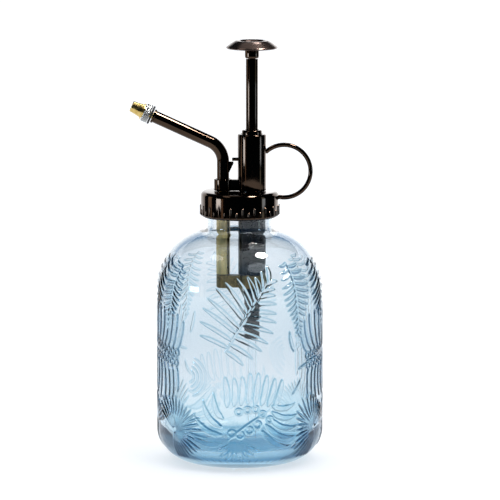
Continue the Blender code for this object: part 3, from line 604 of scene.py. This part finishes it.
def lay_relief(us, zs):
    """Leaf height from 0 to 1 on a grid of distances round the wall (us) and heights (zs)."""
    height = np.zeros((len(zs), len(us)))
    girth = TAU * BODY_R

    def window(low_u, high_u, low_z, high_z):
        """The rows and columns inside a box of the wall, and those columns' places along it."""
        rows = np.where((zs > low_z) & (zs < high_z))[0]
        middle = (low_u + high_u) / 2
        offset = (us - middle + girth / 2) % girth - girth / 2
        columns = np.where(np.abs(offset) < (high_u - low_u) / 2)[0]
        return rows, columns, offset[columns] + middle

    for line, half, tall, tip in BLADES:
        pts = np.array([tuple(p) for p in line])
        pad = half + RELIEF_EDGE + 0.3
        low, high = pts.min(0) - pad, pts.max(0) + pad
        rows, columns, u = window(low[0], high[0], low[1], high[1])
        if not len(rows) or not len(columns):
            continue
        grid_u, grid_z = np.meshgrid(u, zs[rows])
        best = np.full(grid_u.shape, -9.0)
        count = len(pts) - 1
        for i in range(count):
            seg = pts[i + 1] - pts[i]
            size = max(seg @ seg, 1e-9)
            from_u, from_z = grid_u - pts[i][0], grid_z - pts[i][1]
            along = np.clip((from_u * seg[0] + from_z * seg[1]) / size, 0, 1)
            away = np.hypot(from_u - along * seg[0], from_z - along * seg[1])
            t = (i + along) / count
            wide = half * np.minimum(1, (0.35 + 4.0 * t)) * np.clip((1 - t) * 2.6, 0, 1) ** tip
            best = np.maximum(best, wide - away)
        body = np.clip(best / RELIEF_EDGE + 0.5, 0, 1)
        body = body * body * (3 - 2 * body)
        vein = 0.10 * np.exp(-((half - best) / (0.8 * half)) ** 4) if half > 0.8 else 0
        part = tall * (body - vein * (best > 0.1))
        spot = np.ix_(rows, columns)
        height[spot] = np.maximum(height[spot], part)
    for u0, z0, radius, half, tall in LOOPS:
        reach = radius + half + RELIEF_EDGE
        rows, columns, u = window(u0 - reach, u0 + reach, z0 - reach, z0 + reach)
        grid_u, grid_z = np.meshgrid(u, zs[rows])
        away = np.abs(np.hypot(grid_u - u0, grid_z - z0) - radius)
        body = np.clip((half - away) / RELIEF_EDGE + 0.5, 0, 1)
        spot = np.ix_(rows, columns)
        height[spot] = np.maximum(height[spot], tall * body * body * (3 - 2 * body))
    return height


# ---------------- bottle

SHOULDER_ARC, SHOULDER_Z = 27.8, 84.6
HEEL_ARC = 16.5
WALL = 2.9
FLOOR_Z = 5.5
NECK_R, NECK_BORE = 15.6, 13.2
NECK_ROOT_Z = 113.2
PITCH, RIDGE_H = 4.2, 0.9
THREAD_Z, THREAD_TURNS = 119.6, 1.1
LEAVES_TOP_Z = 103
BARE_ROWS = 50          # rows at the end of the outer profile, under the heel, that have no leaves
PUSH_UP = 1.0           # hollow under the base


def outer_profile():
    """The outside from the lip down to the base, finely divided where leaves and thread lie."""
    row = 0.33
    shoulder = (BODY_R - SHOULDER_ARC, SHOULDER_Z)
    line = [(NECK_R - 1.2, LIP_Z), (NECK_R - 0.7, LIP_Z - 0.1)]
    line += [(NECK_R - 0.2, LIP_Z - 0.45), (NECK_R, LIP_Z - 0.9)]
    line += [(NECK_R, z) for z in np.arange(LIP_Z - 1.2, NECK_ROOT_Z + 0.9, -0.3)]
    slope = arc_points(shoulder, SHOULDER_ARC, 78, 0, 118)
    root = bezier((NECK_R, NECK_ROOT_Z + 0.8), (NECK_R + 0.05, NECK_ROOT_Z - 0.9), slope[0], 10)
    line += [tuple(p) for p in root[:-1]]
    line += slope
    line += [(BODY_R, z) for z in np.arange(SHOULDER_Z - row, HEEL_ARC, -row)]
    line += arc_points((BODY_R - HEEL_ARC, HEEL_ARC), HEEL_ARC, 0, -90, 78)
    line += [(22.4, 0.02), (21.6, 0.1), (21.0, 0.3), (20.2, 0.7), (19.2, 0.95)]
    line += [(r, PUSH_UP) for r in (17, 9, 3)]
    return line


def inner_profile():
    """The inside from the floor up to the lip. It swells and thins a little, as blown glass does."""
    shoulder = (BODY_R - SHOULDER_ARC, SHOULDER_Z)
    inner, heel = BODY_R - WALL, 14.0
    line = [(3, FLOOR_Z + 0.5), (9, FLOOR_Z + 0.42), (16, FLOOR_Z + 0.2)]
    line += arc_points((inner - heel, FLOOR_Z + heel), heel, -88, 0, 26)
    heights = np.arange(21, SHOULDER_Z, 1.5)
    line += [(inner + 0.14 * math.sin(math.pi * (z - 21) / 9.1) * (SHOULDER_Z - z) / 60, z) for z in heights]
    slope = arc_points(shoulder, SHOULDER_ARC - WALL, 0, 72, 32)
    line += slope
    line += [tuple(p) for p in bezier(slope[-1], (NECK_BORE, 110.0), (NECK_BORE, 114.5), 10)[1:]]
    line += [(NECK_BORE, z) for z in (117, 120, LIP_Z - 1)]
    line += [(NECK_BORE + 0.2, LIP_Z - 0.45), (NECK_BORE + 0.6, LIP_Z - 0.1)]
    return line


def thread_height(angle, z):
    """The neck's thread ridge, at an angle counted from +X in radians."""
    tall = np.zeros(np.broadcast(angle, z).shape)
    for turn in (0, 1):
        t = angle / TAU + turn
        middle = THREAD_Z + PITCH * t
        inside = np.clip(np.minimum(t, THREAD_TURNS - t) * 14, 0, 1)
        flank = np.clip((0.75 - np.abs(z - middle)) / 0.35, 0, 1)
        tall = np.maximum(tall, inside * flank * RIDGE_H)
    return tall


def revolve(r, z, angle):
    """Rows of points round the Z axis, from radii and heights that may differ round each row."""
    return np.stack(np.broadcast_arrays(r * np.cos(angle), r * np.sin(angle), z), 2).reshape(-1, 3)


def wall_relief(outer, angle):
    """The leaves' height on the outside. It fades out below the neck and is shallower at the back."""
    heights = outer[:, 1]
    from_front = BODY_R * ((angle + math.pi / 2 + math.pi) % TAU - math.pi)     # the front faces -Y
    relief = lay_relief(from_front, heights[::-1])[::-1]
    on_body = (heights < LEAVES_TOP_Z) & (np.arange(len(outer)) < len(outer) - BARE_ROWS)
    relief *= on_body[:, None] * np.clip((LEAVES_TOP_Z - heights) / 4, 0, 1)[:, None]
    relief *= 0.75 + 0.25 * np.clip(-4 * np.sin(angle), -1, 1)[None, :]
    return relief


def painted_edge_shade(relief, angle, heights):
    """How much painted shade darkens the glass at each point: most on steep flanks, to the left and right and by
    the foot.
    """
    steep_u = np.abs(np.roll(relief, -1, 1) - np.roll(relief, 1, 1))
    steep_z = np.abs(np.gradient(relief, axis=0)) * 2
    to_side = np.abs(np.cos(angle))[None, :]
    near_foot = np.clip((30 - heights) / 10, 0, 1)[:, None]
    edges = np.clip(np.hypot(steep_u, steep_z), 0, 1) * (0.36 + 0.64 * to_side ** 1.5)
    edges += relief * (0.24 * to_side ** 2 + 0.75 * near_foot * to_side)
    return np.clip(edges, 0, 1)


def embossed_bottle():
    columns, inner_columns = 768, 192
    outer, inner = np.array(outer_profile()), np.array(inner_profile())
    heights = outer[:, 1]
    angle = np.arange(columns) / columns * TAU
    relief = wall_relief(outer, angle)
    slope = np.gradient(outer, axis=0)
    normal = np.stack([-slope[:, 1], slope[:, 0]], 1)
    normal /= np.linalg.norm(normal, axis=1)[:, None]
    r = outer[:, :1] + normal[:, :1] * relief * RELIEF_H
    z = outer[:, 1:] + normal[:, 1:] * relief * RELIEF_H
    on_neck = heights > NECK_ROOT_Z + 1
    r += on_neck[:, None] * thread_height(angle[None, :], heights[:, None])
    foot_ring = (outer[:, 0] > 21.2) & (outer[:, 0] < 25.5) & (heights < PUSH_UP)
    notches = 0.22 * np.clip(np.sin(angle * 48) * 3, 0, 1)
    z += foot_ring[:, None] * notches[None, :]
    outside = revolve(r, z, angle)
    inside = revolve(inner[:, :1], inner[:, 1:], np.arange(inner_columns) / inner_columns * TAU)
    points = np.concatenate([outside, inside, [(0, 0, PUSH_UP), (0, 0, FLOOR_Z + 0.5)]])
    start = len(outside)
    faces = grid_faces(len(outer), columns) + grid_faces(len(inner), inner_columns, start)
    base_middle, floor_middle = len(points) - 2, len(points) - 1
    last = (len(outer) - 1) * columns
    faces += [(last + k, base_middle, last + (k + 1) % columns) for k in range(columns)]
    faces += [(floor_middle, start + k, start + (k + 1) % inner_columns) for k in range(inner_columns)]
    share = columns // inner_columns
    rim = start + (len(inner) - 1) * inner_columns
    for k in range(inner_columns):
        lip = [(k * share + i) % columns for i in range(share + 1)]
        faces.append([rim + k, *lip, rim + (k + 1) % inner_columns])
    bottle = store("embossed_bottle", points, faces, sharp=180)
    # Painted shade along the leaves' edges, kept on the outer wall's points for the glass material.
    edge = np.zeros(len(points), np.float32)
    edge[:start] = painted_edge_shade(relief, angle, heights).reshape(-1)
    layer = bottle.data.attributes.new("painted_leaf_shade", "FLOAT", "POINT")
    layer.data.foreach_set("value", edge)
    fix_normals(bottle)
    dress(bottle, GLASS, "glass_bottle")


# ---------------- closure

CAP_R, CAP_SHELL = 18.85, 1.1
INSERT_R, INSERT_BORE, INSERT_DECK = 17.5, 16.8, 1.4
SKIRT = 1.1                     # how far the liner shows below the CAD insert
CYLINDER_HOLE, RISER_HOLE = 6.0, 2.7
RIBS = 20                       # long grip ribs, with as many short ones between them
LONG_RIB_Z, SHORT_RIB_Z = 124.8, 122.8
RIB_R, RIB_PROUD, RIB_SIDES = 0.62, 0.42, 14


def cut_pump_holes(piece, top):
    """Cuts the ways for the cylinder and the riser through a deck."""
    combine(piece, [
        lathe("hole", [(0, top + 2), (radius, top + 2), (radius, LIP_Z), (0, LIP_Z)], on_axis(x), 64)
        for x, radius in ((PUMP_X, CYLINDER_HOLE), (SPOUT_X, RISER_HOLE))
    ], "DIFFERENCE")


def screw_cap():
    bottom = CAP_LOW.z
    outline = [
        (0, DECK_Z), (CAP_R - 0.1, DECK_Z, 2.0), (CAP_R, bottom + 0.55, 0.3),
        (CAP_R - 0.15, bottom, 0.2), (CAP_R - CAP_SHELL, bottom, 0.2),
        (CAP_R - CAP_SHELL, DECK_Z - CAP_SHELL, 1.0), (0, DECK_Z - CAP_SHELL),
    ]
    cap = lathe("plated_cap", outline, steps=160)
    cut_pump_holes(cap, DECK_Z)
    combine(cap, [grip_ribs(bottom)])
    dress(cap, BRONZE, "screw_cap")


def grip_ribs(bottom):
    """Long and short ribs in turn. Each is a round bar with a round top, sunk into the cap's side."""
    points, faces = [], []
    for i in range(2 * RIBS):
        top = SHORT_RIB_Z if i % 2 else LONG_RIB_Z
        angle = TAU * (i / (2 * RIBS)) - math.radians(90 - 4.5)
        out = CAP_R + RIB_PROUD - RIB_R
        centre = Vector((out * math.cos(angle), out * math.sin(angle), 0))
        levels = [(bottom + 0.45, 0.55), (bottom + 0.6, 1.0)]
        levels += [(top - 0.72, 1.0), (top - 0.6, 0.97), (top - 0.12, 0.22)]
        first = len(points)
        for z, size in levels:
            points += [centre + Vector(p) for p in circle(RIB_R * size, z, RIB_SIDES)]
        last = len(points) - RIB_SIDES
        points.append(centre + Vector((0, 0, top)))
        faces += [(a, d, c, b) for a, b, c, d in grid_faces(len(levels), RIB_SIDES, first)]
        faces.append([first + k for k in reversed(range(RIB_SIDES))])
        faces += [(last + k, last + (k + 1) % RIB_SIDES, len(points) - 1) for k in range(RIB_SIDES)]
    return fix_normals(store("ribs", points, faces))


def neck_insert():
    """The black liner, whose skirt shows as dark rings under the cap's edge."""
    bottom, top = foot_and_top("threaded_insert")
    bottom -= SKIRT
    outline = [
        (0, top), (INSERT_R, top, 0.5), (INSERT_R, bottom, 0.25), (INSERT_BORE, bottom, 0.2),
        (INSERT_BORE, top - INSERT_DECK, 0.6), (0, top - INSERT_DECK),
    ]
    liner = lathe("neck_liner", outline, steps=128)
    cut_pump_holes(liner, top)
    combine(liner, [liner_thread()])
    dress(liner, BLACK_PLASTIC, "threaded_insert")


def liner_thread():
    """The liner's own right-hand ridge, half a pitch away from the neck's."""
    steps, turns, foot_z, lag = 90, 0.9, 121.2, math.radians(43)
    section = [(17.3, -0.75), (16.8, -0.75), (15.95, -0.4), (15.95, 0.4), (16.8, 0.75), (17.3, 0.75)]
    count = len(section)
    points = []
    for i in range(steps + 1):
        angle = TAU * turns * i / steps - lag
        climb = foot_z + PITCH * turns * i / steps
        points += [(r * math.cos(angle), r * math.sin(angle), climb + z) for r, z in section]
    faces = grid_faces(steps + 1, count) + end_faces(steps + 1, count)
    return fix_normals(store("liner_thread", points, faces))


# ---------------- barrel, loop and plunger

CASING_R, CASING_BORE, CASING_MOUTH = 6.9, 6.0, 5.25
CASING_LEDGE_Z = 155.6
SOCKET_R, SOCKET_BORE, SOCKET_TOP_Z = 4.4, 3.3, 136.7
LATCH_TIP_X, LATCH_Z, LATCH_T = -3.7, 145.4, 1.6
WEB_W, LATCH_W = 5.0, 2.2
GLAND_FLANGE_Z, SEAL_TOP_Z = 155.3, 156.9
GLAND_BORE = 3.25
ROD_FOOT_Z, ROD_SHOULDER_Z = 149.9, 194.6
KNOB_R, KNOB_BORE, KNOB_SOCKET_Z = 12.5, 2.1, 200.9


def barrel_casing():
    foot, top = foot_and_top("barrel_casing")
    outline = [
        (CASING_MOUTH, top), (CASING_R, top, 1.3), (CASING_R, foot, 0.25), (CASING_BORE, foot),
        (CASING_BORE, CASING_LEDGE_Z), (CASING_MOUTH, CASING_LEDGE_Z),
    ]
    casing = lathe("barrel", outline, on_axis(PUMP_X), closed=True)
    socket_outline = [
        (SOCKET_BORE, SOCKET_TOP_Z), (SOCKET_R, SOCKET_TOP_Z, 0.35), (SOCKET_R, foot, 0.2),
        (SOCKET_BORE, foot),
    ]
    socket = lathe("socket", socket_outline, on_axis(SPOUT_X), 72, closed=True)
    inside_wall = PUMP_X - CASING_R + 0.5
    web_end = (inside_wall, WEB_W / 2, SOCKET_TOP_Z - 0.2)
    web = block("web", (SPOUT_X + 3.6, -WEB_W / 2, foot), web_end, 0.35)
    tab_end = (inside_wall, LATCH_W / 2, LATCH_Z + LATCH_T)
    tab = block("tab", (LATCH_TIP_X, -LATCH_W / 2, LATCH_Z), tab_end, 0.35)
    combine(casing, [socket, web, tab])
    dress(casing, BRONZE, "barrel_casing")


def finger_loop():
    """A round wire on an arc from the cap's side round to the barrel's."""
    low, high = node_box("finger_loop")
    wire_r = (high.y - low.y) / 2
    radius = (high.z - low.z) / 2 - wire_r
    centre = Vector((high.x - wire_r - radius, 0, (high.z + low.z) / 2))
    angles = np.radians(np.linspace(-102.5, 134.3, 72))
    path = [centre + radius * Vector((math.cos(a), 0, math.sin(a))) for a in angles]
    dress(tube("loop", path, wire_r, 28, round_end=0.3), BRONZE, "finger_loop")


def gland_nut():
    foot, top = foot_and_top("gland_nut")
    turned("gland_nut", "gland", [
        (GLAND_BORE, top, 0.25), (4.9, top, 0.9), (4.9, GLAND_FLANGE_Z),
        (5.6, GLAND_FLANGE_Z, 0.2), (5.6, foot, 0.2), (GLAND_BORE, foot),
        (GLAND_BORE, GLAND_FLANGE_Z), (4.4, GLAND_FLANGE_Z), (4.4, SEAL_TOP_Z),
        (GLAND_BORE, SEAL_TOP_Z),
    ], BRONZE)


def plunger_rod():
    low, high = node_box("plunger_rod")
    rod_r = (high.y - low.y) / 2
    turned("plunger_rod", "rod", [
        (0, high.z), (1.8, high.z, 0.2), (1.8, ROD_SHOULDER_Z), (rod_r, ROD_SHOULDER_Z, 0.3),
        (rod_r, ROD_FOOT_Z, 0.3), (1.7, ROD_FOOT_Z), (1.7, low.z, 0.2), (0, low.z),
    ], BRONZE, steps=64, closed=False)


def knob_collar():
    foot, top = foot_and_top("knob_collar")
    turned("knob_collar", "collar", [
        (KNOB_BORE, top), (3.45, top, 0.15), (3.45, foot + 0.8, 0.5), (3.2, foot, 0.25),
        (KNOB_BORE, foot),
    ], BRONZE, steps=64)


def knob():
    """The push button: a dish inside a rounded ring, a sloping brim and a thin rolled edge."""
    foot, top = foot_and_top("knob")
    turned("knob", "push_knob", [
        (0, top - 1.1), (4.9, top - 1.05, 0.8), (5.9, top - 0.3, 0.4), (6.7, top, 1.2),
        (7.8, top, 1.0), (9.4, top - 0.95, 2.5), (KNOB_R - 0.35, foot + 1.0, 0.4),
        (KNOB_R, foot + 0.55, 0.4), (KNOB_R - 0.6, foot, 0.4), (9.0, foot + 0.35, 2.0),
        (3.4, foot, 0.2), (KNOB_BORE, foot), (KNOB_BORE, KNOB_SOCKET_Z), (0, KNOB_SOCKET_Z),
    ], SATIN_BRONZE, steps=128, closed=False)


# ---------------- pump inside the bottle

HOLDER_Z = LIP_Z + 1.8          # shoulder by which cylinder and riser hang
TUBE_SOCKET_TOP_Z, INLET_SEAT_Z = 75.0, 79.2


def pump_cylinder():
    foot, top = foot_and_top("pump_cylinder")
    turned("pump_cylinder", "cylinder", [
        (4.7, top), (5.7, top, 0.2), (5.7, HOLDER_Z), (6.6, HOLDER_Z, 0.3),
        (6.6, foot, 0.4), (4.7, foot),
    ], BLACK_PLASTIC)


def riser_tube():
    foot, top = foot_and_top("riser_tube")
    turned("riser_tube", "riser", [
        (1.3, top), (2.4, top, 0.2), (2.4, HOLDER_Z), (3.3, HOLDER_Z, 0.3),
        (3.3, foot, 0.2), (1.9, foot), (1.9, foot + 4.2), (1.3, foot + 4.2),
    ], OLIVE_BRONZE, SPOUT_X, 64)


def intake_housing():
    foot, top = foot_and_top("intake_housing")
    turned("intake_housing", "intake", [
        (2.2, top), (4.2, top, 0.3), (4.2, top - 3.0, 0.2), (3.7, top - 3.4, 0.2),
        (3.7, foot, 0.4), (2.75, foot), (2.75, TUBE_SOCKET_TOP_Z), (1.2, TUBE_SOCKET_TOP_Z),
        (1.2, INLET_SEAT_Z), (2.2, INLET_SEAT_Z),
    ], BLACK_PLASTIC, steps=64)


def dip_tube():
    foot, top = foot_and_top("dip_tube")
    outline = [(1.7, top), (2.5, top, 0.15), (2.5, foot, 0.15), (1.7, foot)]
    turned("dip_tube", "suction_tube", outline, CLEAR_PLASTIC, steps=48)


def return_spring():
    """The coil under the piston. It is drawn at one length, though the real coil shortens as the knob is pushed.
    """
    low, high = node_box("return_spring")
    wire_r, turns, per_turn, sides = 0.4, 8, 28, 12
    coil_r = (high.y - low.y) / 2 - wire_r
    count = turns * per_turn
    points = []
    for i in range(count + 1):
        angle = TAU * i / per_turn
        z = low.z + wire_r + (high.z - low.z - 2 * wire_r) * i / count
        for k in range(sides):
            around = TAU * k / sides
            r = coil_r + wire_r * math.cos(around)
            points.append((r * math.cos(angle), r * math.sin(angle), z + wire_r * math.sin(around)))
    faces = grid_faces(count + 1, sides) + end_faces(count + 1, sides)
    spring = fix_normals(store("coil", points, faces, on_axis(PUMP_X)))
    dress(spring, STEEL, "return_spring")
    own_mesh(spring)


# ---------------- spout and nozzle

SPOUT_R, SPOUT_BORE = 3.0, 1.8
SPOUT_BEND_R = 10.5
SPOUT_FOOT_Z = 133.0
SPOUT_REACH = 37.1


def spout_path():
    upright = Vector((0, 0, 1))
    turn = upright.angle(SLOPE)
    tangent = SPOUT_BEND_R * math.tan(turn / 2)
    centre = SPOUT_CORNER + Vector((-SPOUT_BEND_R, 0, -tangent))
    points = [Vector((SPOUT_X, 0, z)) for z in (SPOUT_FOOT_Z, SPOUT_FOOT_Z + 3, SPOUT_FOOT_Z + 6)]
    for angle in np.linspace(0, turn, 26):
        points.append(centre + SPOUT_BEND_R * Vector((math.cos(angle), 0, math.sin(angle))))
    points += [SPOUT_CORNER + SLOPE * reach for reach in (15, 25, SPOUT_REACH - 1, SPOUT_REACH)]
    return points


def spout():
    body = tube("bent_spout", spout_path(), SPOUT_R, 48, SPOUT_BORE)
    collar_outline = [
        (2.2, SPOUT_REACH - 0.05), (3.45, SPOUT_REACH - 0.05, 0.3),
        (3.45, SPOUT_REACH - 1.0, 0.3), (2.2, SPOUT_REACH - 1.6),
    ]
    collar = lathe("collar_end", collar_outline, along_spout(), 64, closed=True)
    combine(body, [collar, spout_fin()])
    dress(body, BRONZE, "spout")


def spout_fin():
    """The flat fin in the spout's bend, under the barrel's latch tab."""
    top, half_width, tip_x = 145.1, 0.8, -3.0
    outline = [
        (SPOUT_X + 2.0, top), (SPOUT_X + 2.0, top - 6.2), (SPOUT_X + 2.9, top - 5.4),
        (tip_x - 0.3, top - 1.6), (tip_x, top - 1.1), (tip_x, top),
    ]
    points = [(x, y, z) for y in (-half_width, half_width) for x, z in outline]
    faces = end_faces(2, len(outline)) + grid_faces(2, len(outline))
    return fix_normals(store("fin", points, faces))


# Distances along the spout's slope, from its corner.
WASHER_FOOT, WASHER_TOP = 37.4, 38.3
GRIP_FOOT, GRIP_TOP = 38.65, 41.65
TIP_FOOT, TIP_FLANGE, TIP_FLANGE_TOP, TIP_END = 38.6, 42.0, 42.6, 48.2
TIP_BORE, JET_R = 1.8, 0.35
SLOT_FLOOR, SLOT_W = 46.3, 1.1


def seat_washer():
    outline = [(1.8, WASHER_TOP), (4.6, WASHER_TOP, 0.35), (4.6, WASHER_FOOT, 0.35), (1.8, WASHER_FOOT)]
    dress(lathe("washer", outline, along_spout(), 64, closed=True), RUBBER, "seat_washer")


def nozzle_cap():
    """The brass tip: a flange, a tapering barrel and a screwdriver slot across the jet's hole."""
    outline = [
        (JET_R, TIP_END - 0.6), (0.9, TIP_END), (2.45, TIP_END, 0.15), (2.65, TIP_END - 0.3, 0.2),
        (2.9, 45.3, 0.3), (3.35, 42.8, 0.3), (3.35, TIP_FLANGE_TOP + 0.1, 0.1),
        (4.0, TIP_FLANGE_TOP, 0.15), (4.0, TIP_FLANGE, 0.15), (3.0, TIP_FLANGE),
        (3.0, TIP_FOOT, 0.2), (TIP_BORE, TIP_FOOT), (TIP_BORE, 45.6), (JET_R, 45.6),
    ]
    cap = lathe("spray_tip", outline, along_spout(), 72, closed=True)
    slot = block("slot", (-6, -SLOT_W / 2, SLOT_FLOOR), (6, SLOT_W / 2, 50), 0.12)
    place = along_spout() @ Matrix.Rotation(math.pi / 2, 4, "Z")
    slot.data.transform(Matrix.Scale(MM, 4) @ place @ Matrix.Scale(1 / MM, 4))
    combine(cap, [slot], "DIFFERENCE")
    dress(cap, BRASS, "nozzle_cap")


def nozzle_grip():
    """The grip ring: rows of small pyramids from two crossing helical knurls."""
    columns, rows, teeth, twist = 240, 17, 30, 1.35 * 3
    outer_r, bore, depth = 4.45, 3.3, 0.24
    points = []
    for row in range(rows):
        z = GRIP_FOOT + (GRIP_TOP - GRIP_FOOT) * row / (rows - 1)
        at_end = row in (0, rows - 1)
        for k in range(columns):
            angle = TAU * k / columns
            groove = max(0, math.cos(teeth * angle + twist * z), math.cos(teeth * angle - twist * z))
            r = outer_r - (depth + 0.05 if at_end else depth * groove)
            points.append((r * math.cos(angle), r * math.sin(angle), z))
    faces = grid_faces(rows, columns)
    start = len(points)
    points += circle(bore, GRIP_FOOT, columns) + circle(bore, GRIP_TOP, columns)
    last = (rows - 1) * columns
    for k in range(columns):
        n = (k + 1) % columns
        faces.append((k, n, start + n, start + k))
        faces.append((last + k, start + columns + k, start + columns + n, last + n))
        faces.append((start + k, start + n, start + columns + n, start + columns + k))
    ring = fix_normals(store("knurled_ring", points, faces, along_spout(), sharp=50))
    dress(ring, NICKEL, "nozzle_grip")


# ---------------- studio

def add_floor():
    size, drop = 12.0, 0.0002
    mesh = bpy.data.meshes.new("studio_floor")
    corners = [(-size, -size, 0), (size, -size, 0), (size, size, 0), (-size, size, 0)]
    mesh.from_pydata(corners, [], [(0, 1, 2, 3)])
    floor = add_object("studio_floor", mesh)
    floor.location.z = -drop
    material, _, shader = new_material("floor")
    set_inputs(shader, {"Base Color": (0.62, 0.62, 0.62, 1), "Roughness": 0.9, "Specular IOR Level": 0.0})
    set_inputs(shader, {"Emission Color": (*WHITE, 1), "Emission Strength": 0.5})
    mesh.materials.append(material)


def add_world():
    """A soft studio, bright overhead and dim blue lower down and in front, for the glass to bend."""
    world = bpy.data.worlds.new("studio")
    bpy.context.scene.world = world
    world.use_nodes = True
    tree = world.node_tree
    sky = colour_ramp(tree, coordinate(tree, "Generated", "Z"), [
        (0.0, (0.92, 0.93, 0.95)), (0.12, (0.85, 0.87, 0.9)), (0.24, (0.12, 0.29, 0.48)),
        (0.5, (0.22, 0.37, 0.54)), (0.82, (1.75, 1.72, 1.68)),
    ])
    veil = tree.nodes.new("ShaderNodeMix")
    veil.data_type = "RGBA"
    set_inputs(veil, {"A": (0.12, 0.27, 0.46, 1), "B": (*WHITE, 1)})
    behind = map_range(tree, coordinate(tree, "Generated", "Y"), (-0.9, -0.1), interpolation="SMOOTHSTEP")
    tree.links.new(behind, veil.inputs["Factor"])
    tree.links.new(multiply(tree, sky, veil.outputs["Result"]), tree.nodes["Background"].inputs["Color"])


TENT_R, TENT_H = 0.62, 0.7


def tent_piece(name, points, faces, strength, colour=WHITE, fade=None):
    """One glowing surface that only polished materials see. It may fade in between two heights."""
    mesh = bpy.data.meshes.new(name)
    mesh.from_pydata(points, [], faces)
    piece = add_object(name, mesh)
    material = bpy.data.materials.new(name)
    material.use_nodes = True
    tree = material.node_tree
    tree.nodes.clear()
    glow = tree.nodes.new("ShaderNodeEmission")
    set_inputs(glow, {"Color": (*colour, 1), "Strength": strength})
    if fade:
        risen = map_range(tree, coordinate(tree, "Object", "Z"), fade, (0.0, strength))
        tree.links.new(risen, glow.inputs["Strength"])
    output = tree.nodes.new("ShaderNodeOutputMaterial")
    tree.links.new(glow.outputs[0], output.inputs["Surface"])
    mesh.materials.append(material)
    for ray in ("camera", "diffuse", "transmission", "shadow", "volume_scatter"):
        setattr(piece, "visible_" + ray, False)


def curved_card(name, azimuths, heights, strength, inset=0.01, colour=WHITE, fade=None):
    """A card bent round the tent. Azimuth 0 is towards the camera and 90 to its right."""
    steps = max(2, int(abs(azimuths[1] - azimuths[0]) / 3))
    radius = TENT_R - inset
    angles = np.radians(np.linspace(*azimuths, steps + 1))
    points = [(radius * math.sin(a), -radius * math.cos(a), z) for z in heights for a in angles]
    faces = [(k, k + 1, steps + k + 2, steps + k + 1) for k in range(steps)]
    tent_piece(name, points, faces, strength, colour, fade)


def flat_card(name, centre, size, strength, colour=WHITE):
    """An oval card that faces the cap."""
    sides = 32
    centre = Vector(centre)
    turn = (Vector((0, 0, 0.12)) - centre).to_track_quat("Z", "Y").to_matrix()
    points = []
    for a in (TAU * k / sides for k in range(sides)):
        points.append(centre + turn @ Vector((size[0] / 2 * math.cos(a), size[1] / 2 * math.sin(a), 0)))
    tent_piece(name, points, [list(range(sides))], strength, colour)


def add_reflection_tent():
    """Dim cloth all round with a few bright cards, and a white backdrop behind, as polished metal is shot."""
    steps = 64
    levels = [(TENT_R, 0.0), (TENT_R, 0.45), (TENT_R * 0.7, 0.66), (0.02, TENT_H)]
    points = [p for r, z in levels for p in circle(r, z, steps)]
    tent_piece("tent_cloth", points, grid_faces(len(levels), steps), 0.02, (0.3, 0.6, 1.0))
    high, fade = (0.055, 0.16), (0.062, 0.086)
    curved_card("backdrop_right", (124, 180), (0.0, 0.44), 2.1)
    curved_card("backdrop_left", (180, 236), (0.0, 0.44), 1.5)
    curved_card("left_card_high", (-72, -57), high, 14.0, 0.02, (0.75, 1.0, 1.3), fade)
    curved_card("right_card_high", (69, 79), high, 4.5, 0.03, (0.65, 1.0, 1.45), fade)
    curved_card("left_card", (-104, -90), (0.0, 0.3), 1.6, 0.03, (1.0, 0.85, 0.7))
    curved_card("left_thread", (-55, -50), (0.0, 0.2), 1.3, 0.03, (1.0, 0.75, 0.55))
    curved_card("right_card", (68, 78), (0.0, 0.4), 1.2, 0.02, (0.8, 1.0, 1.0))
    flat_card("key_card", (0.190, -0.062, 0.574), (0.13, 0.11), 110.0)
    flat_card("second_key_card", (0.066, 0.20, 0.55), (0.08, 0.05), 20.0)
    flat_card("left_key_card", (-0.21, -0.10, 0.55), (0.16, 0.10), 4.0, (1.0, 0.93, 0.9))
    flat_card("ceiling", (0.0, 0.16, 0.66), (0.40, 0.34), 0.6)


def add_key_light():
    data = bpy.data.lights.new("key", "AREA")
    data.shape = "ELLIPSE"
    data.size, data.size_y = 0.5, 0.4
    data.energy = 1.5
    light = add_object("key", data)
    light.visible_glossy = False
    light.location = (0.4, -0.5, 0.9)
    light.rotation_euler = (Vector((0, 0, 0.12)) - light.location).to_track_quat("-Z", "Y").to_euler()


def add_camera():
    """A long lens a little above the mister's shoulder, looking slightly down."""
    distance, height, target_z, side = 1.885, 0.375, 0.1021, 0.00493
    data = bpy.data.cameras.new("camera")
    data.sensor_width = 36.0
    data.lens = 284.7
    data.clip_start, data.clip_end = 0.05, 50.0
    camera = add_object("camera", data)
    camera.location = (side, -distance, height)
    look = Vector((side, 0, target_z)) - camera.location
    camera.rotation_euler = look.to_track_quat("-Z", "Y").to_euler()
    bpy.context.scene.camera = camera


# ---------------- assembly

scene = bpy.context.scene
scene.view_settings.view_transform = "Standard"
scene.cycles.max_bounces = 24
scene.cycles.transmission_bounces = 24
add_camera()
add_floor()
add_world()
add_reflection_tent()
add_key_light()

for half in (0, math.pi * BODY_R):
    lay_out_leaves(half)
embossed_bottle()
screw_cap()
neck_insert()
barrel_casing()
finger_loop()
gland_nut()
plunger_rod()
knob_collar()
knob()
pump_cylinder()
riser_tube()
intake_housing()
dip_tube()
return_spring()
spout()
seat_washer()
nozzle_grip()
nozzle_cap()

for node, piece in frame["nodes"].items():
    if not piece.hide_render:
        piece.data.materials.clear()
        piece.data.materials.append(AGED_BRONZE if node == "valve_block" else CAD_MATERIALS[SLOT_OF[node]])
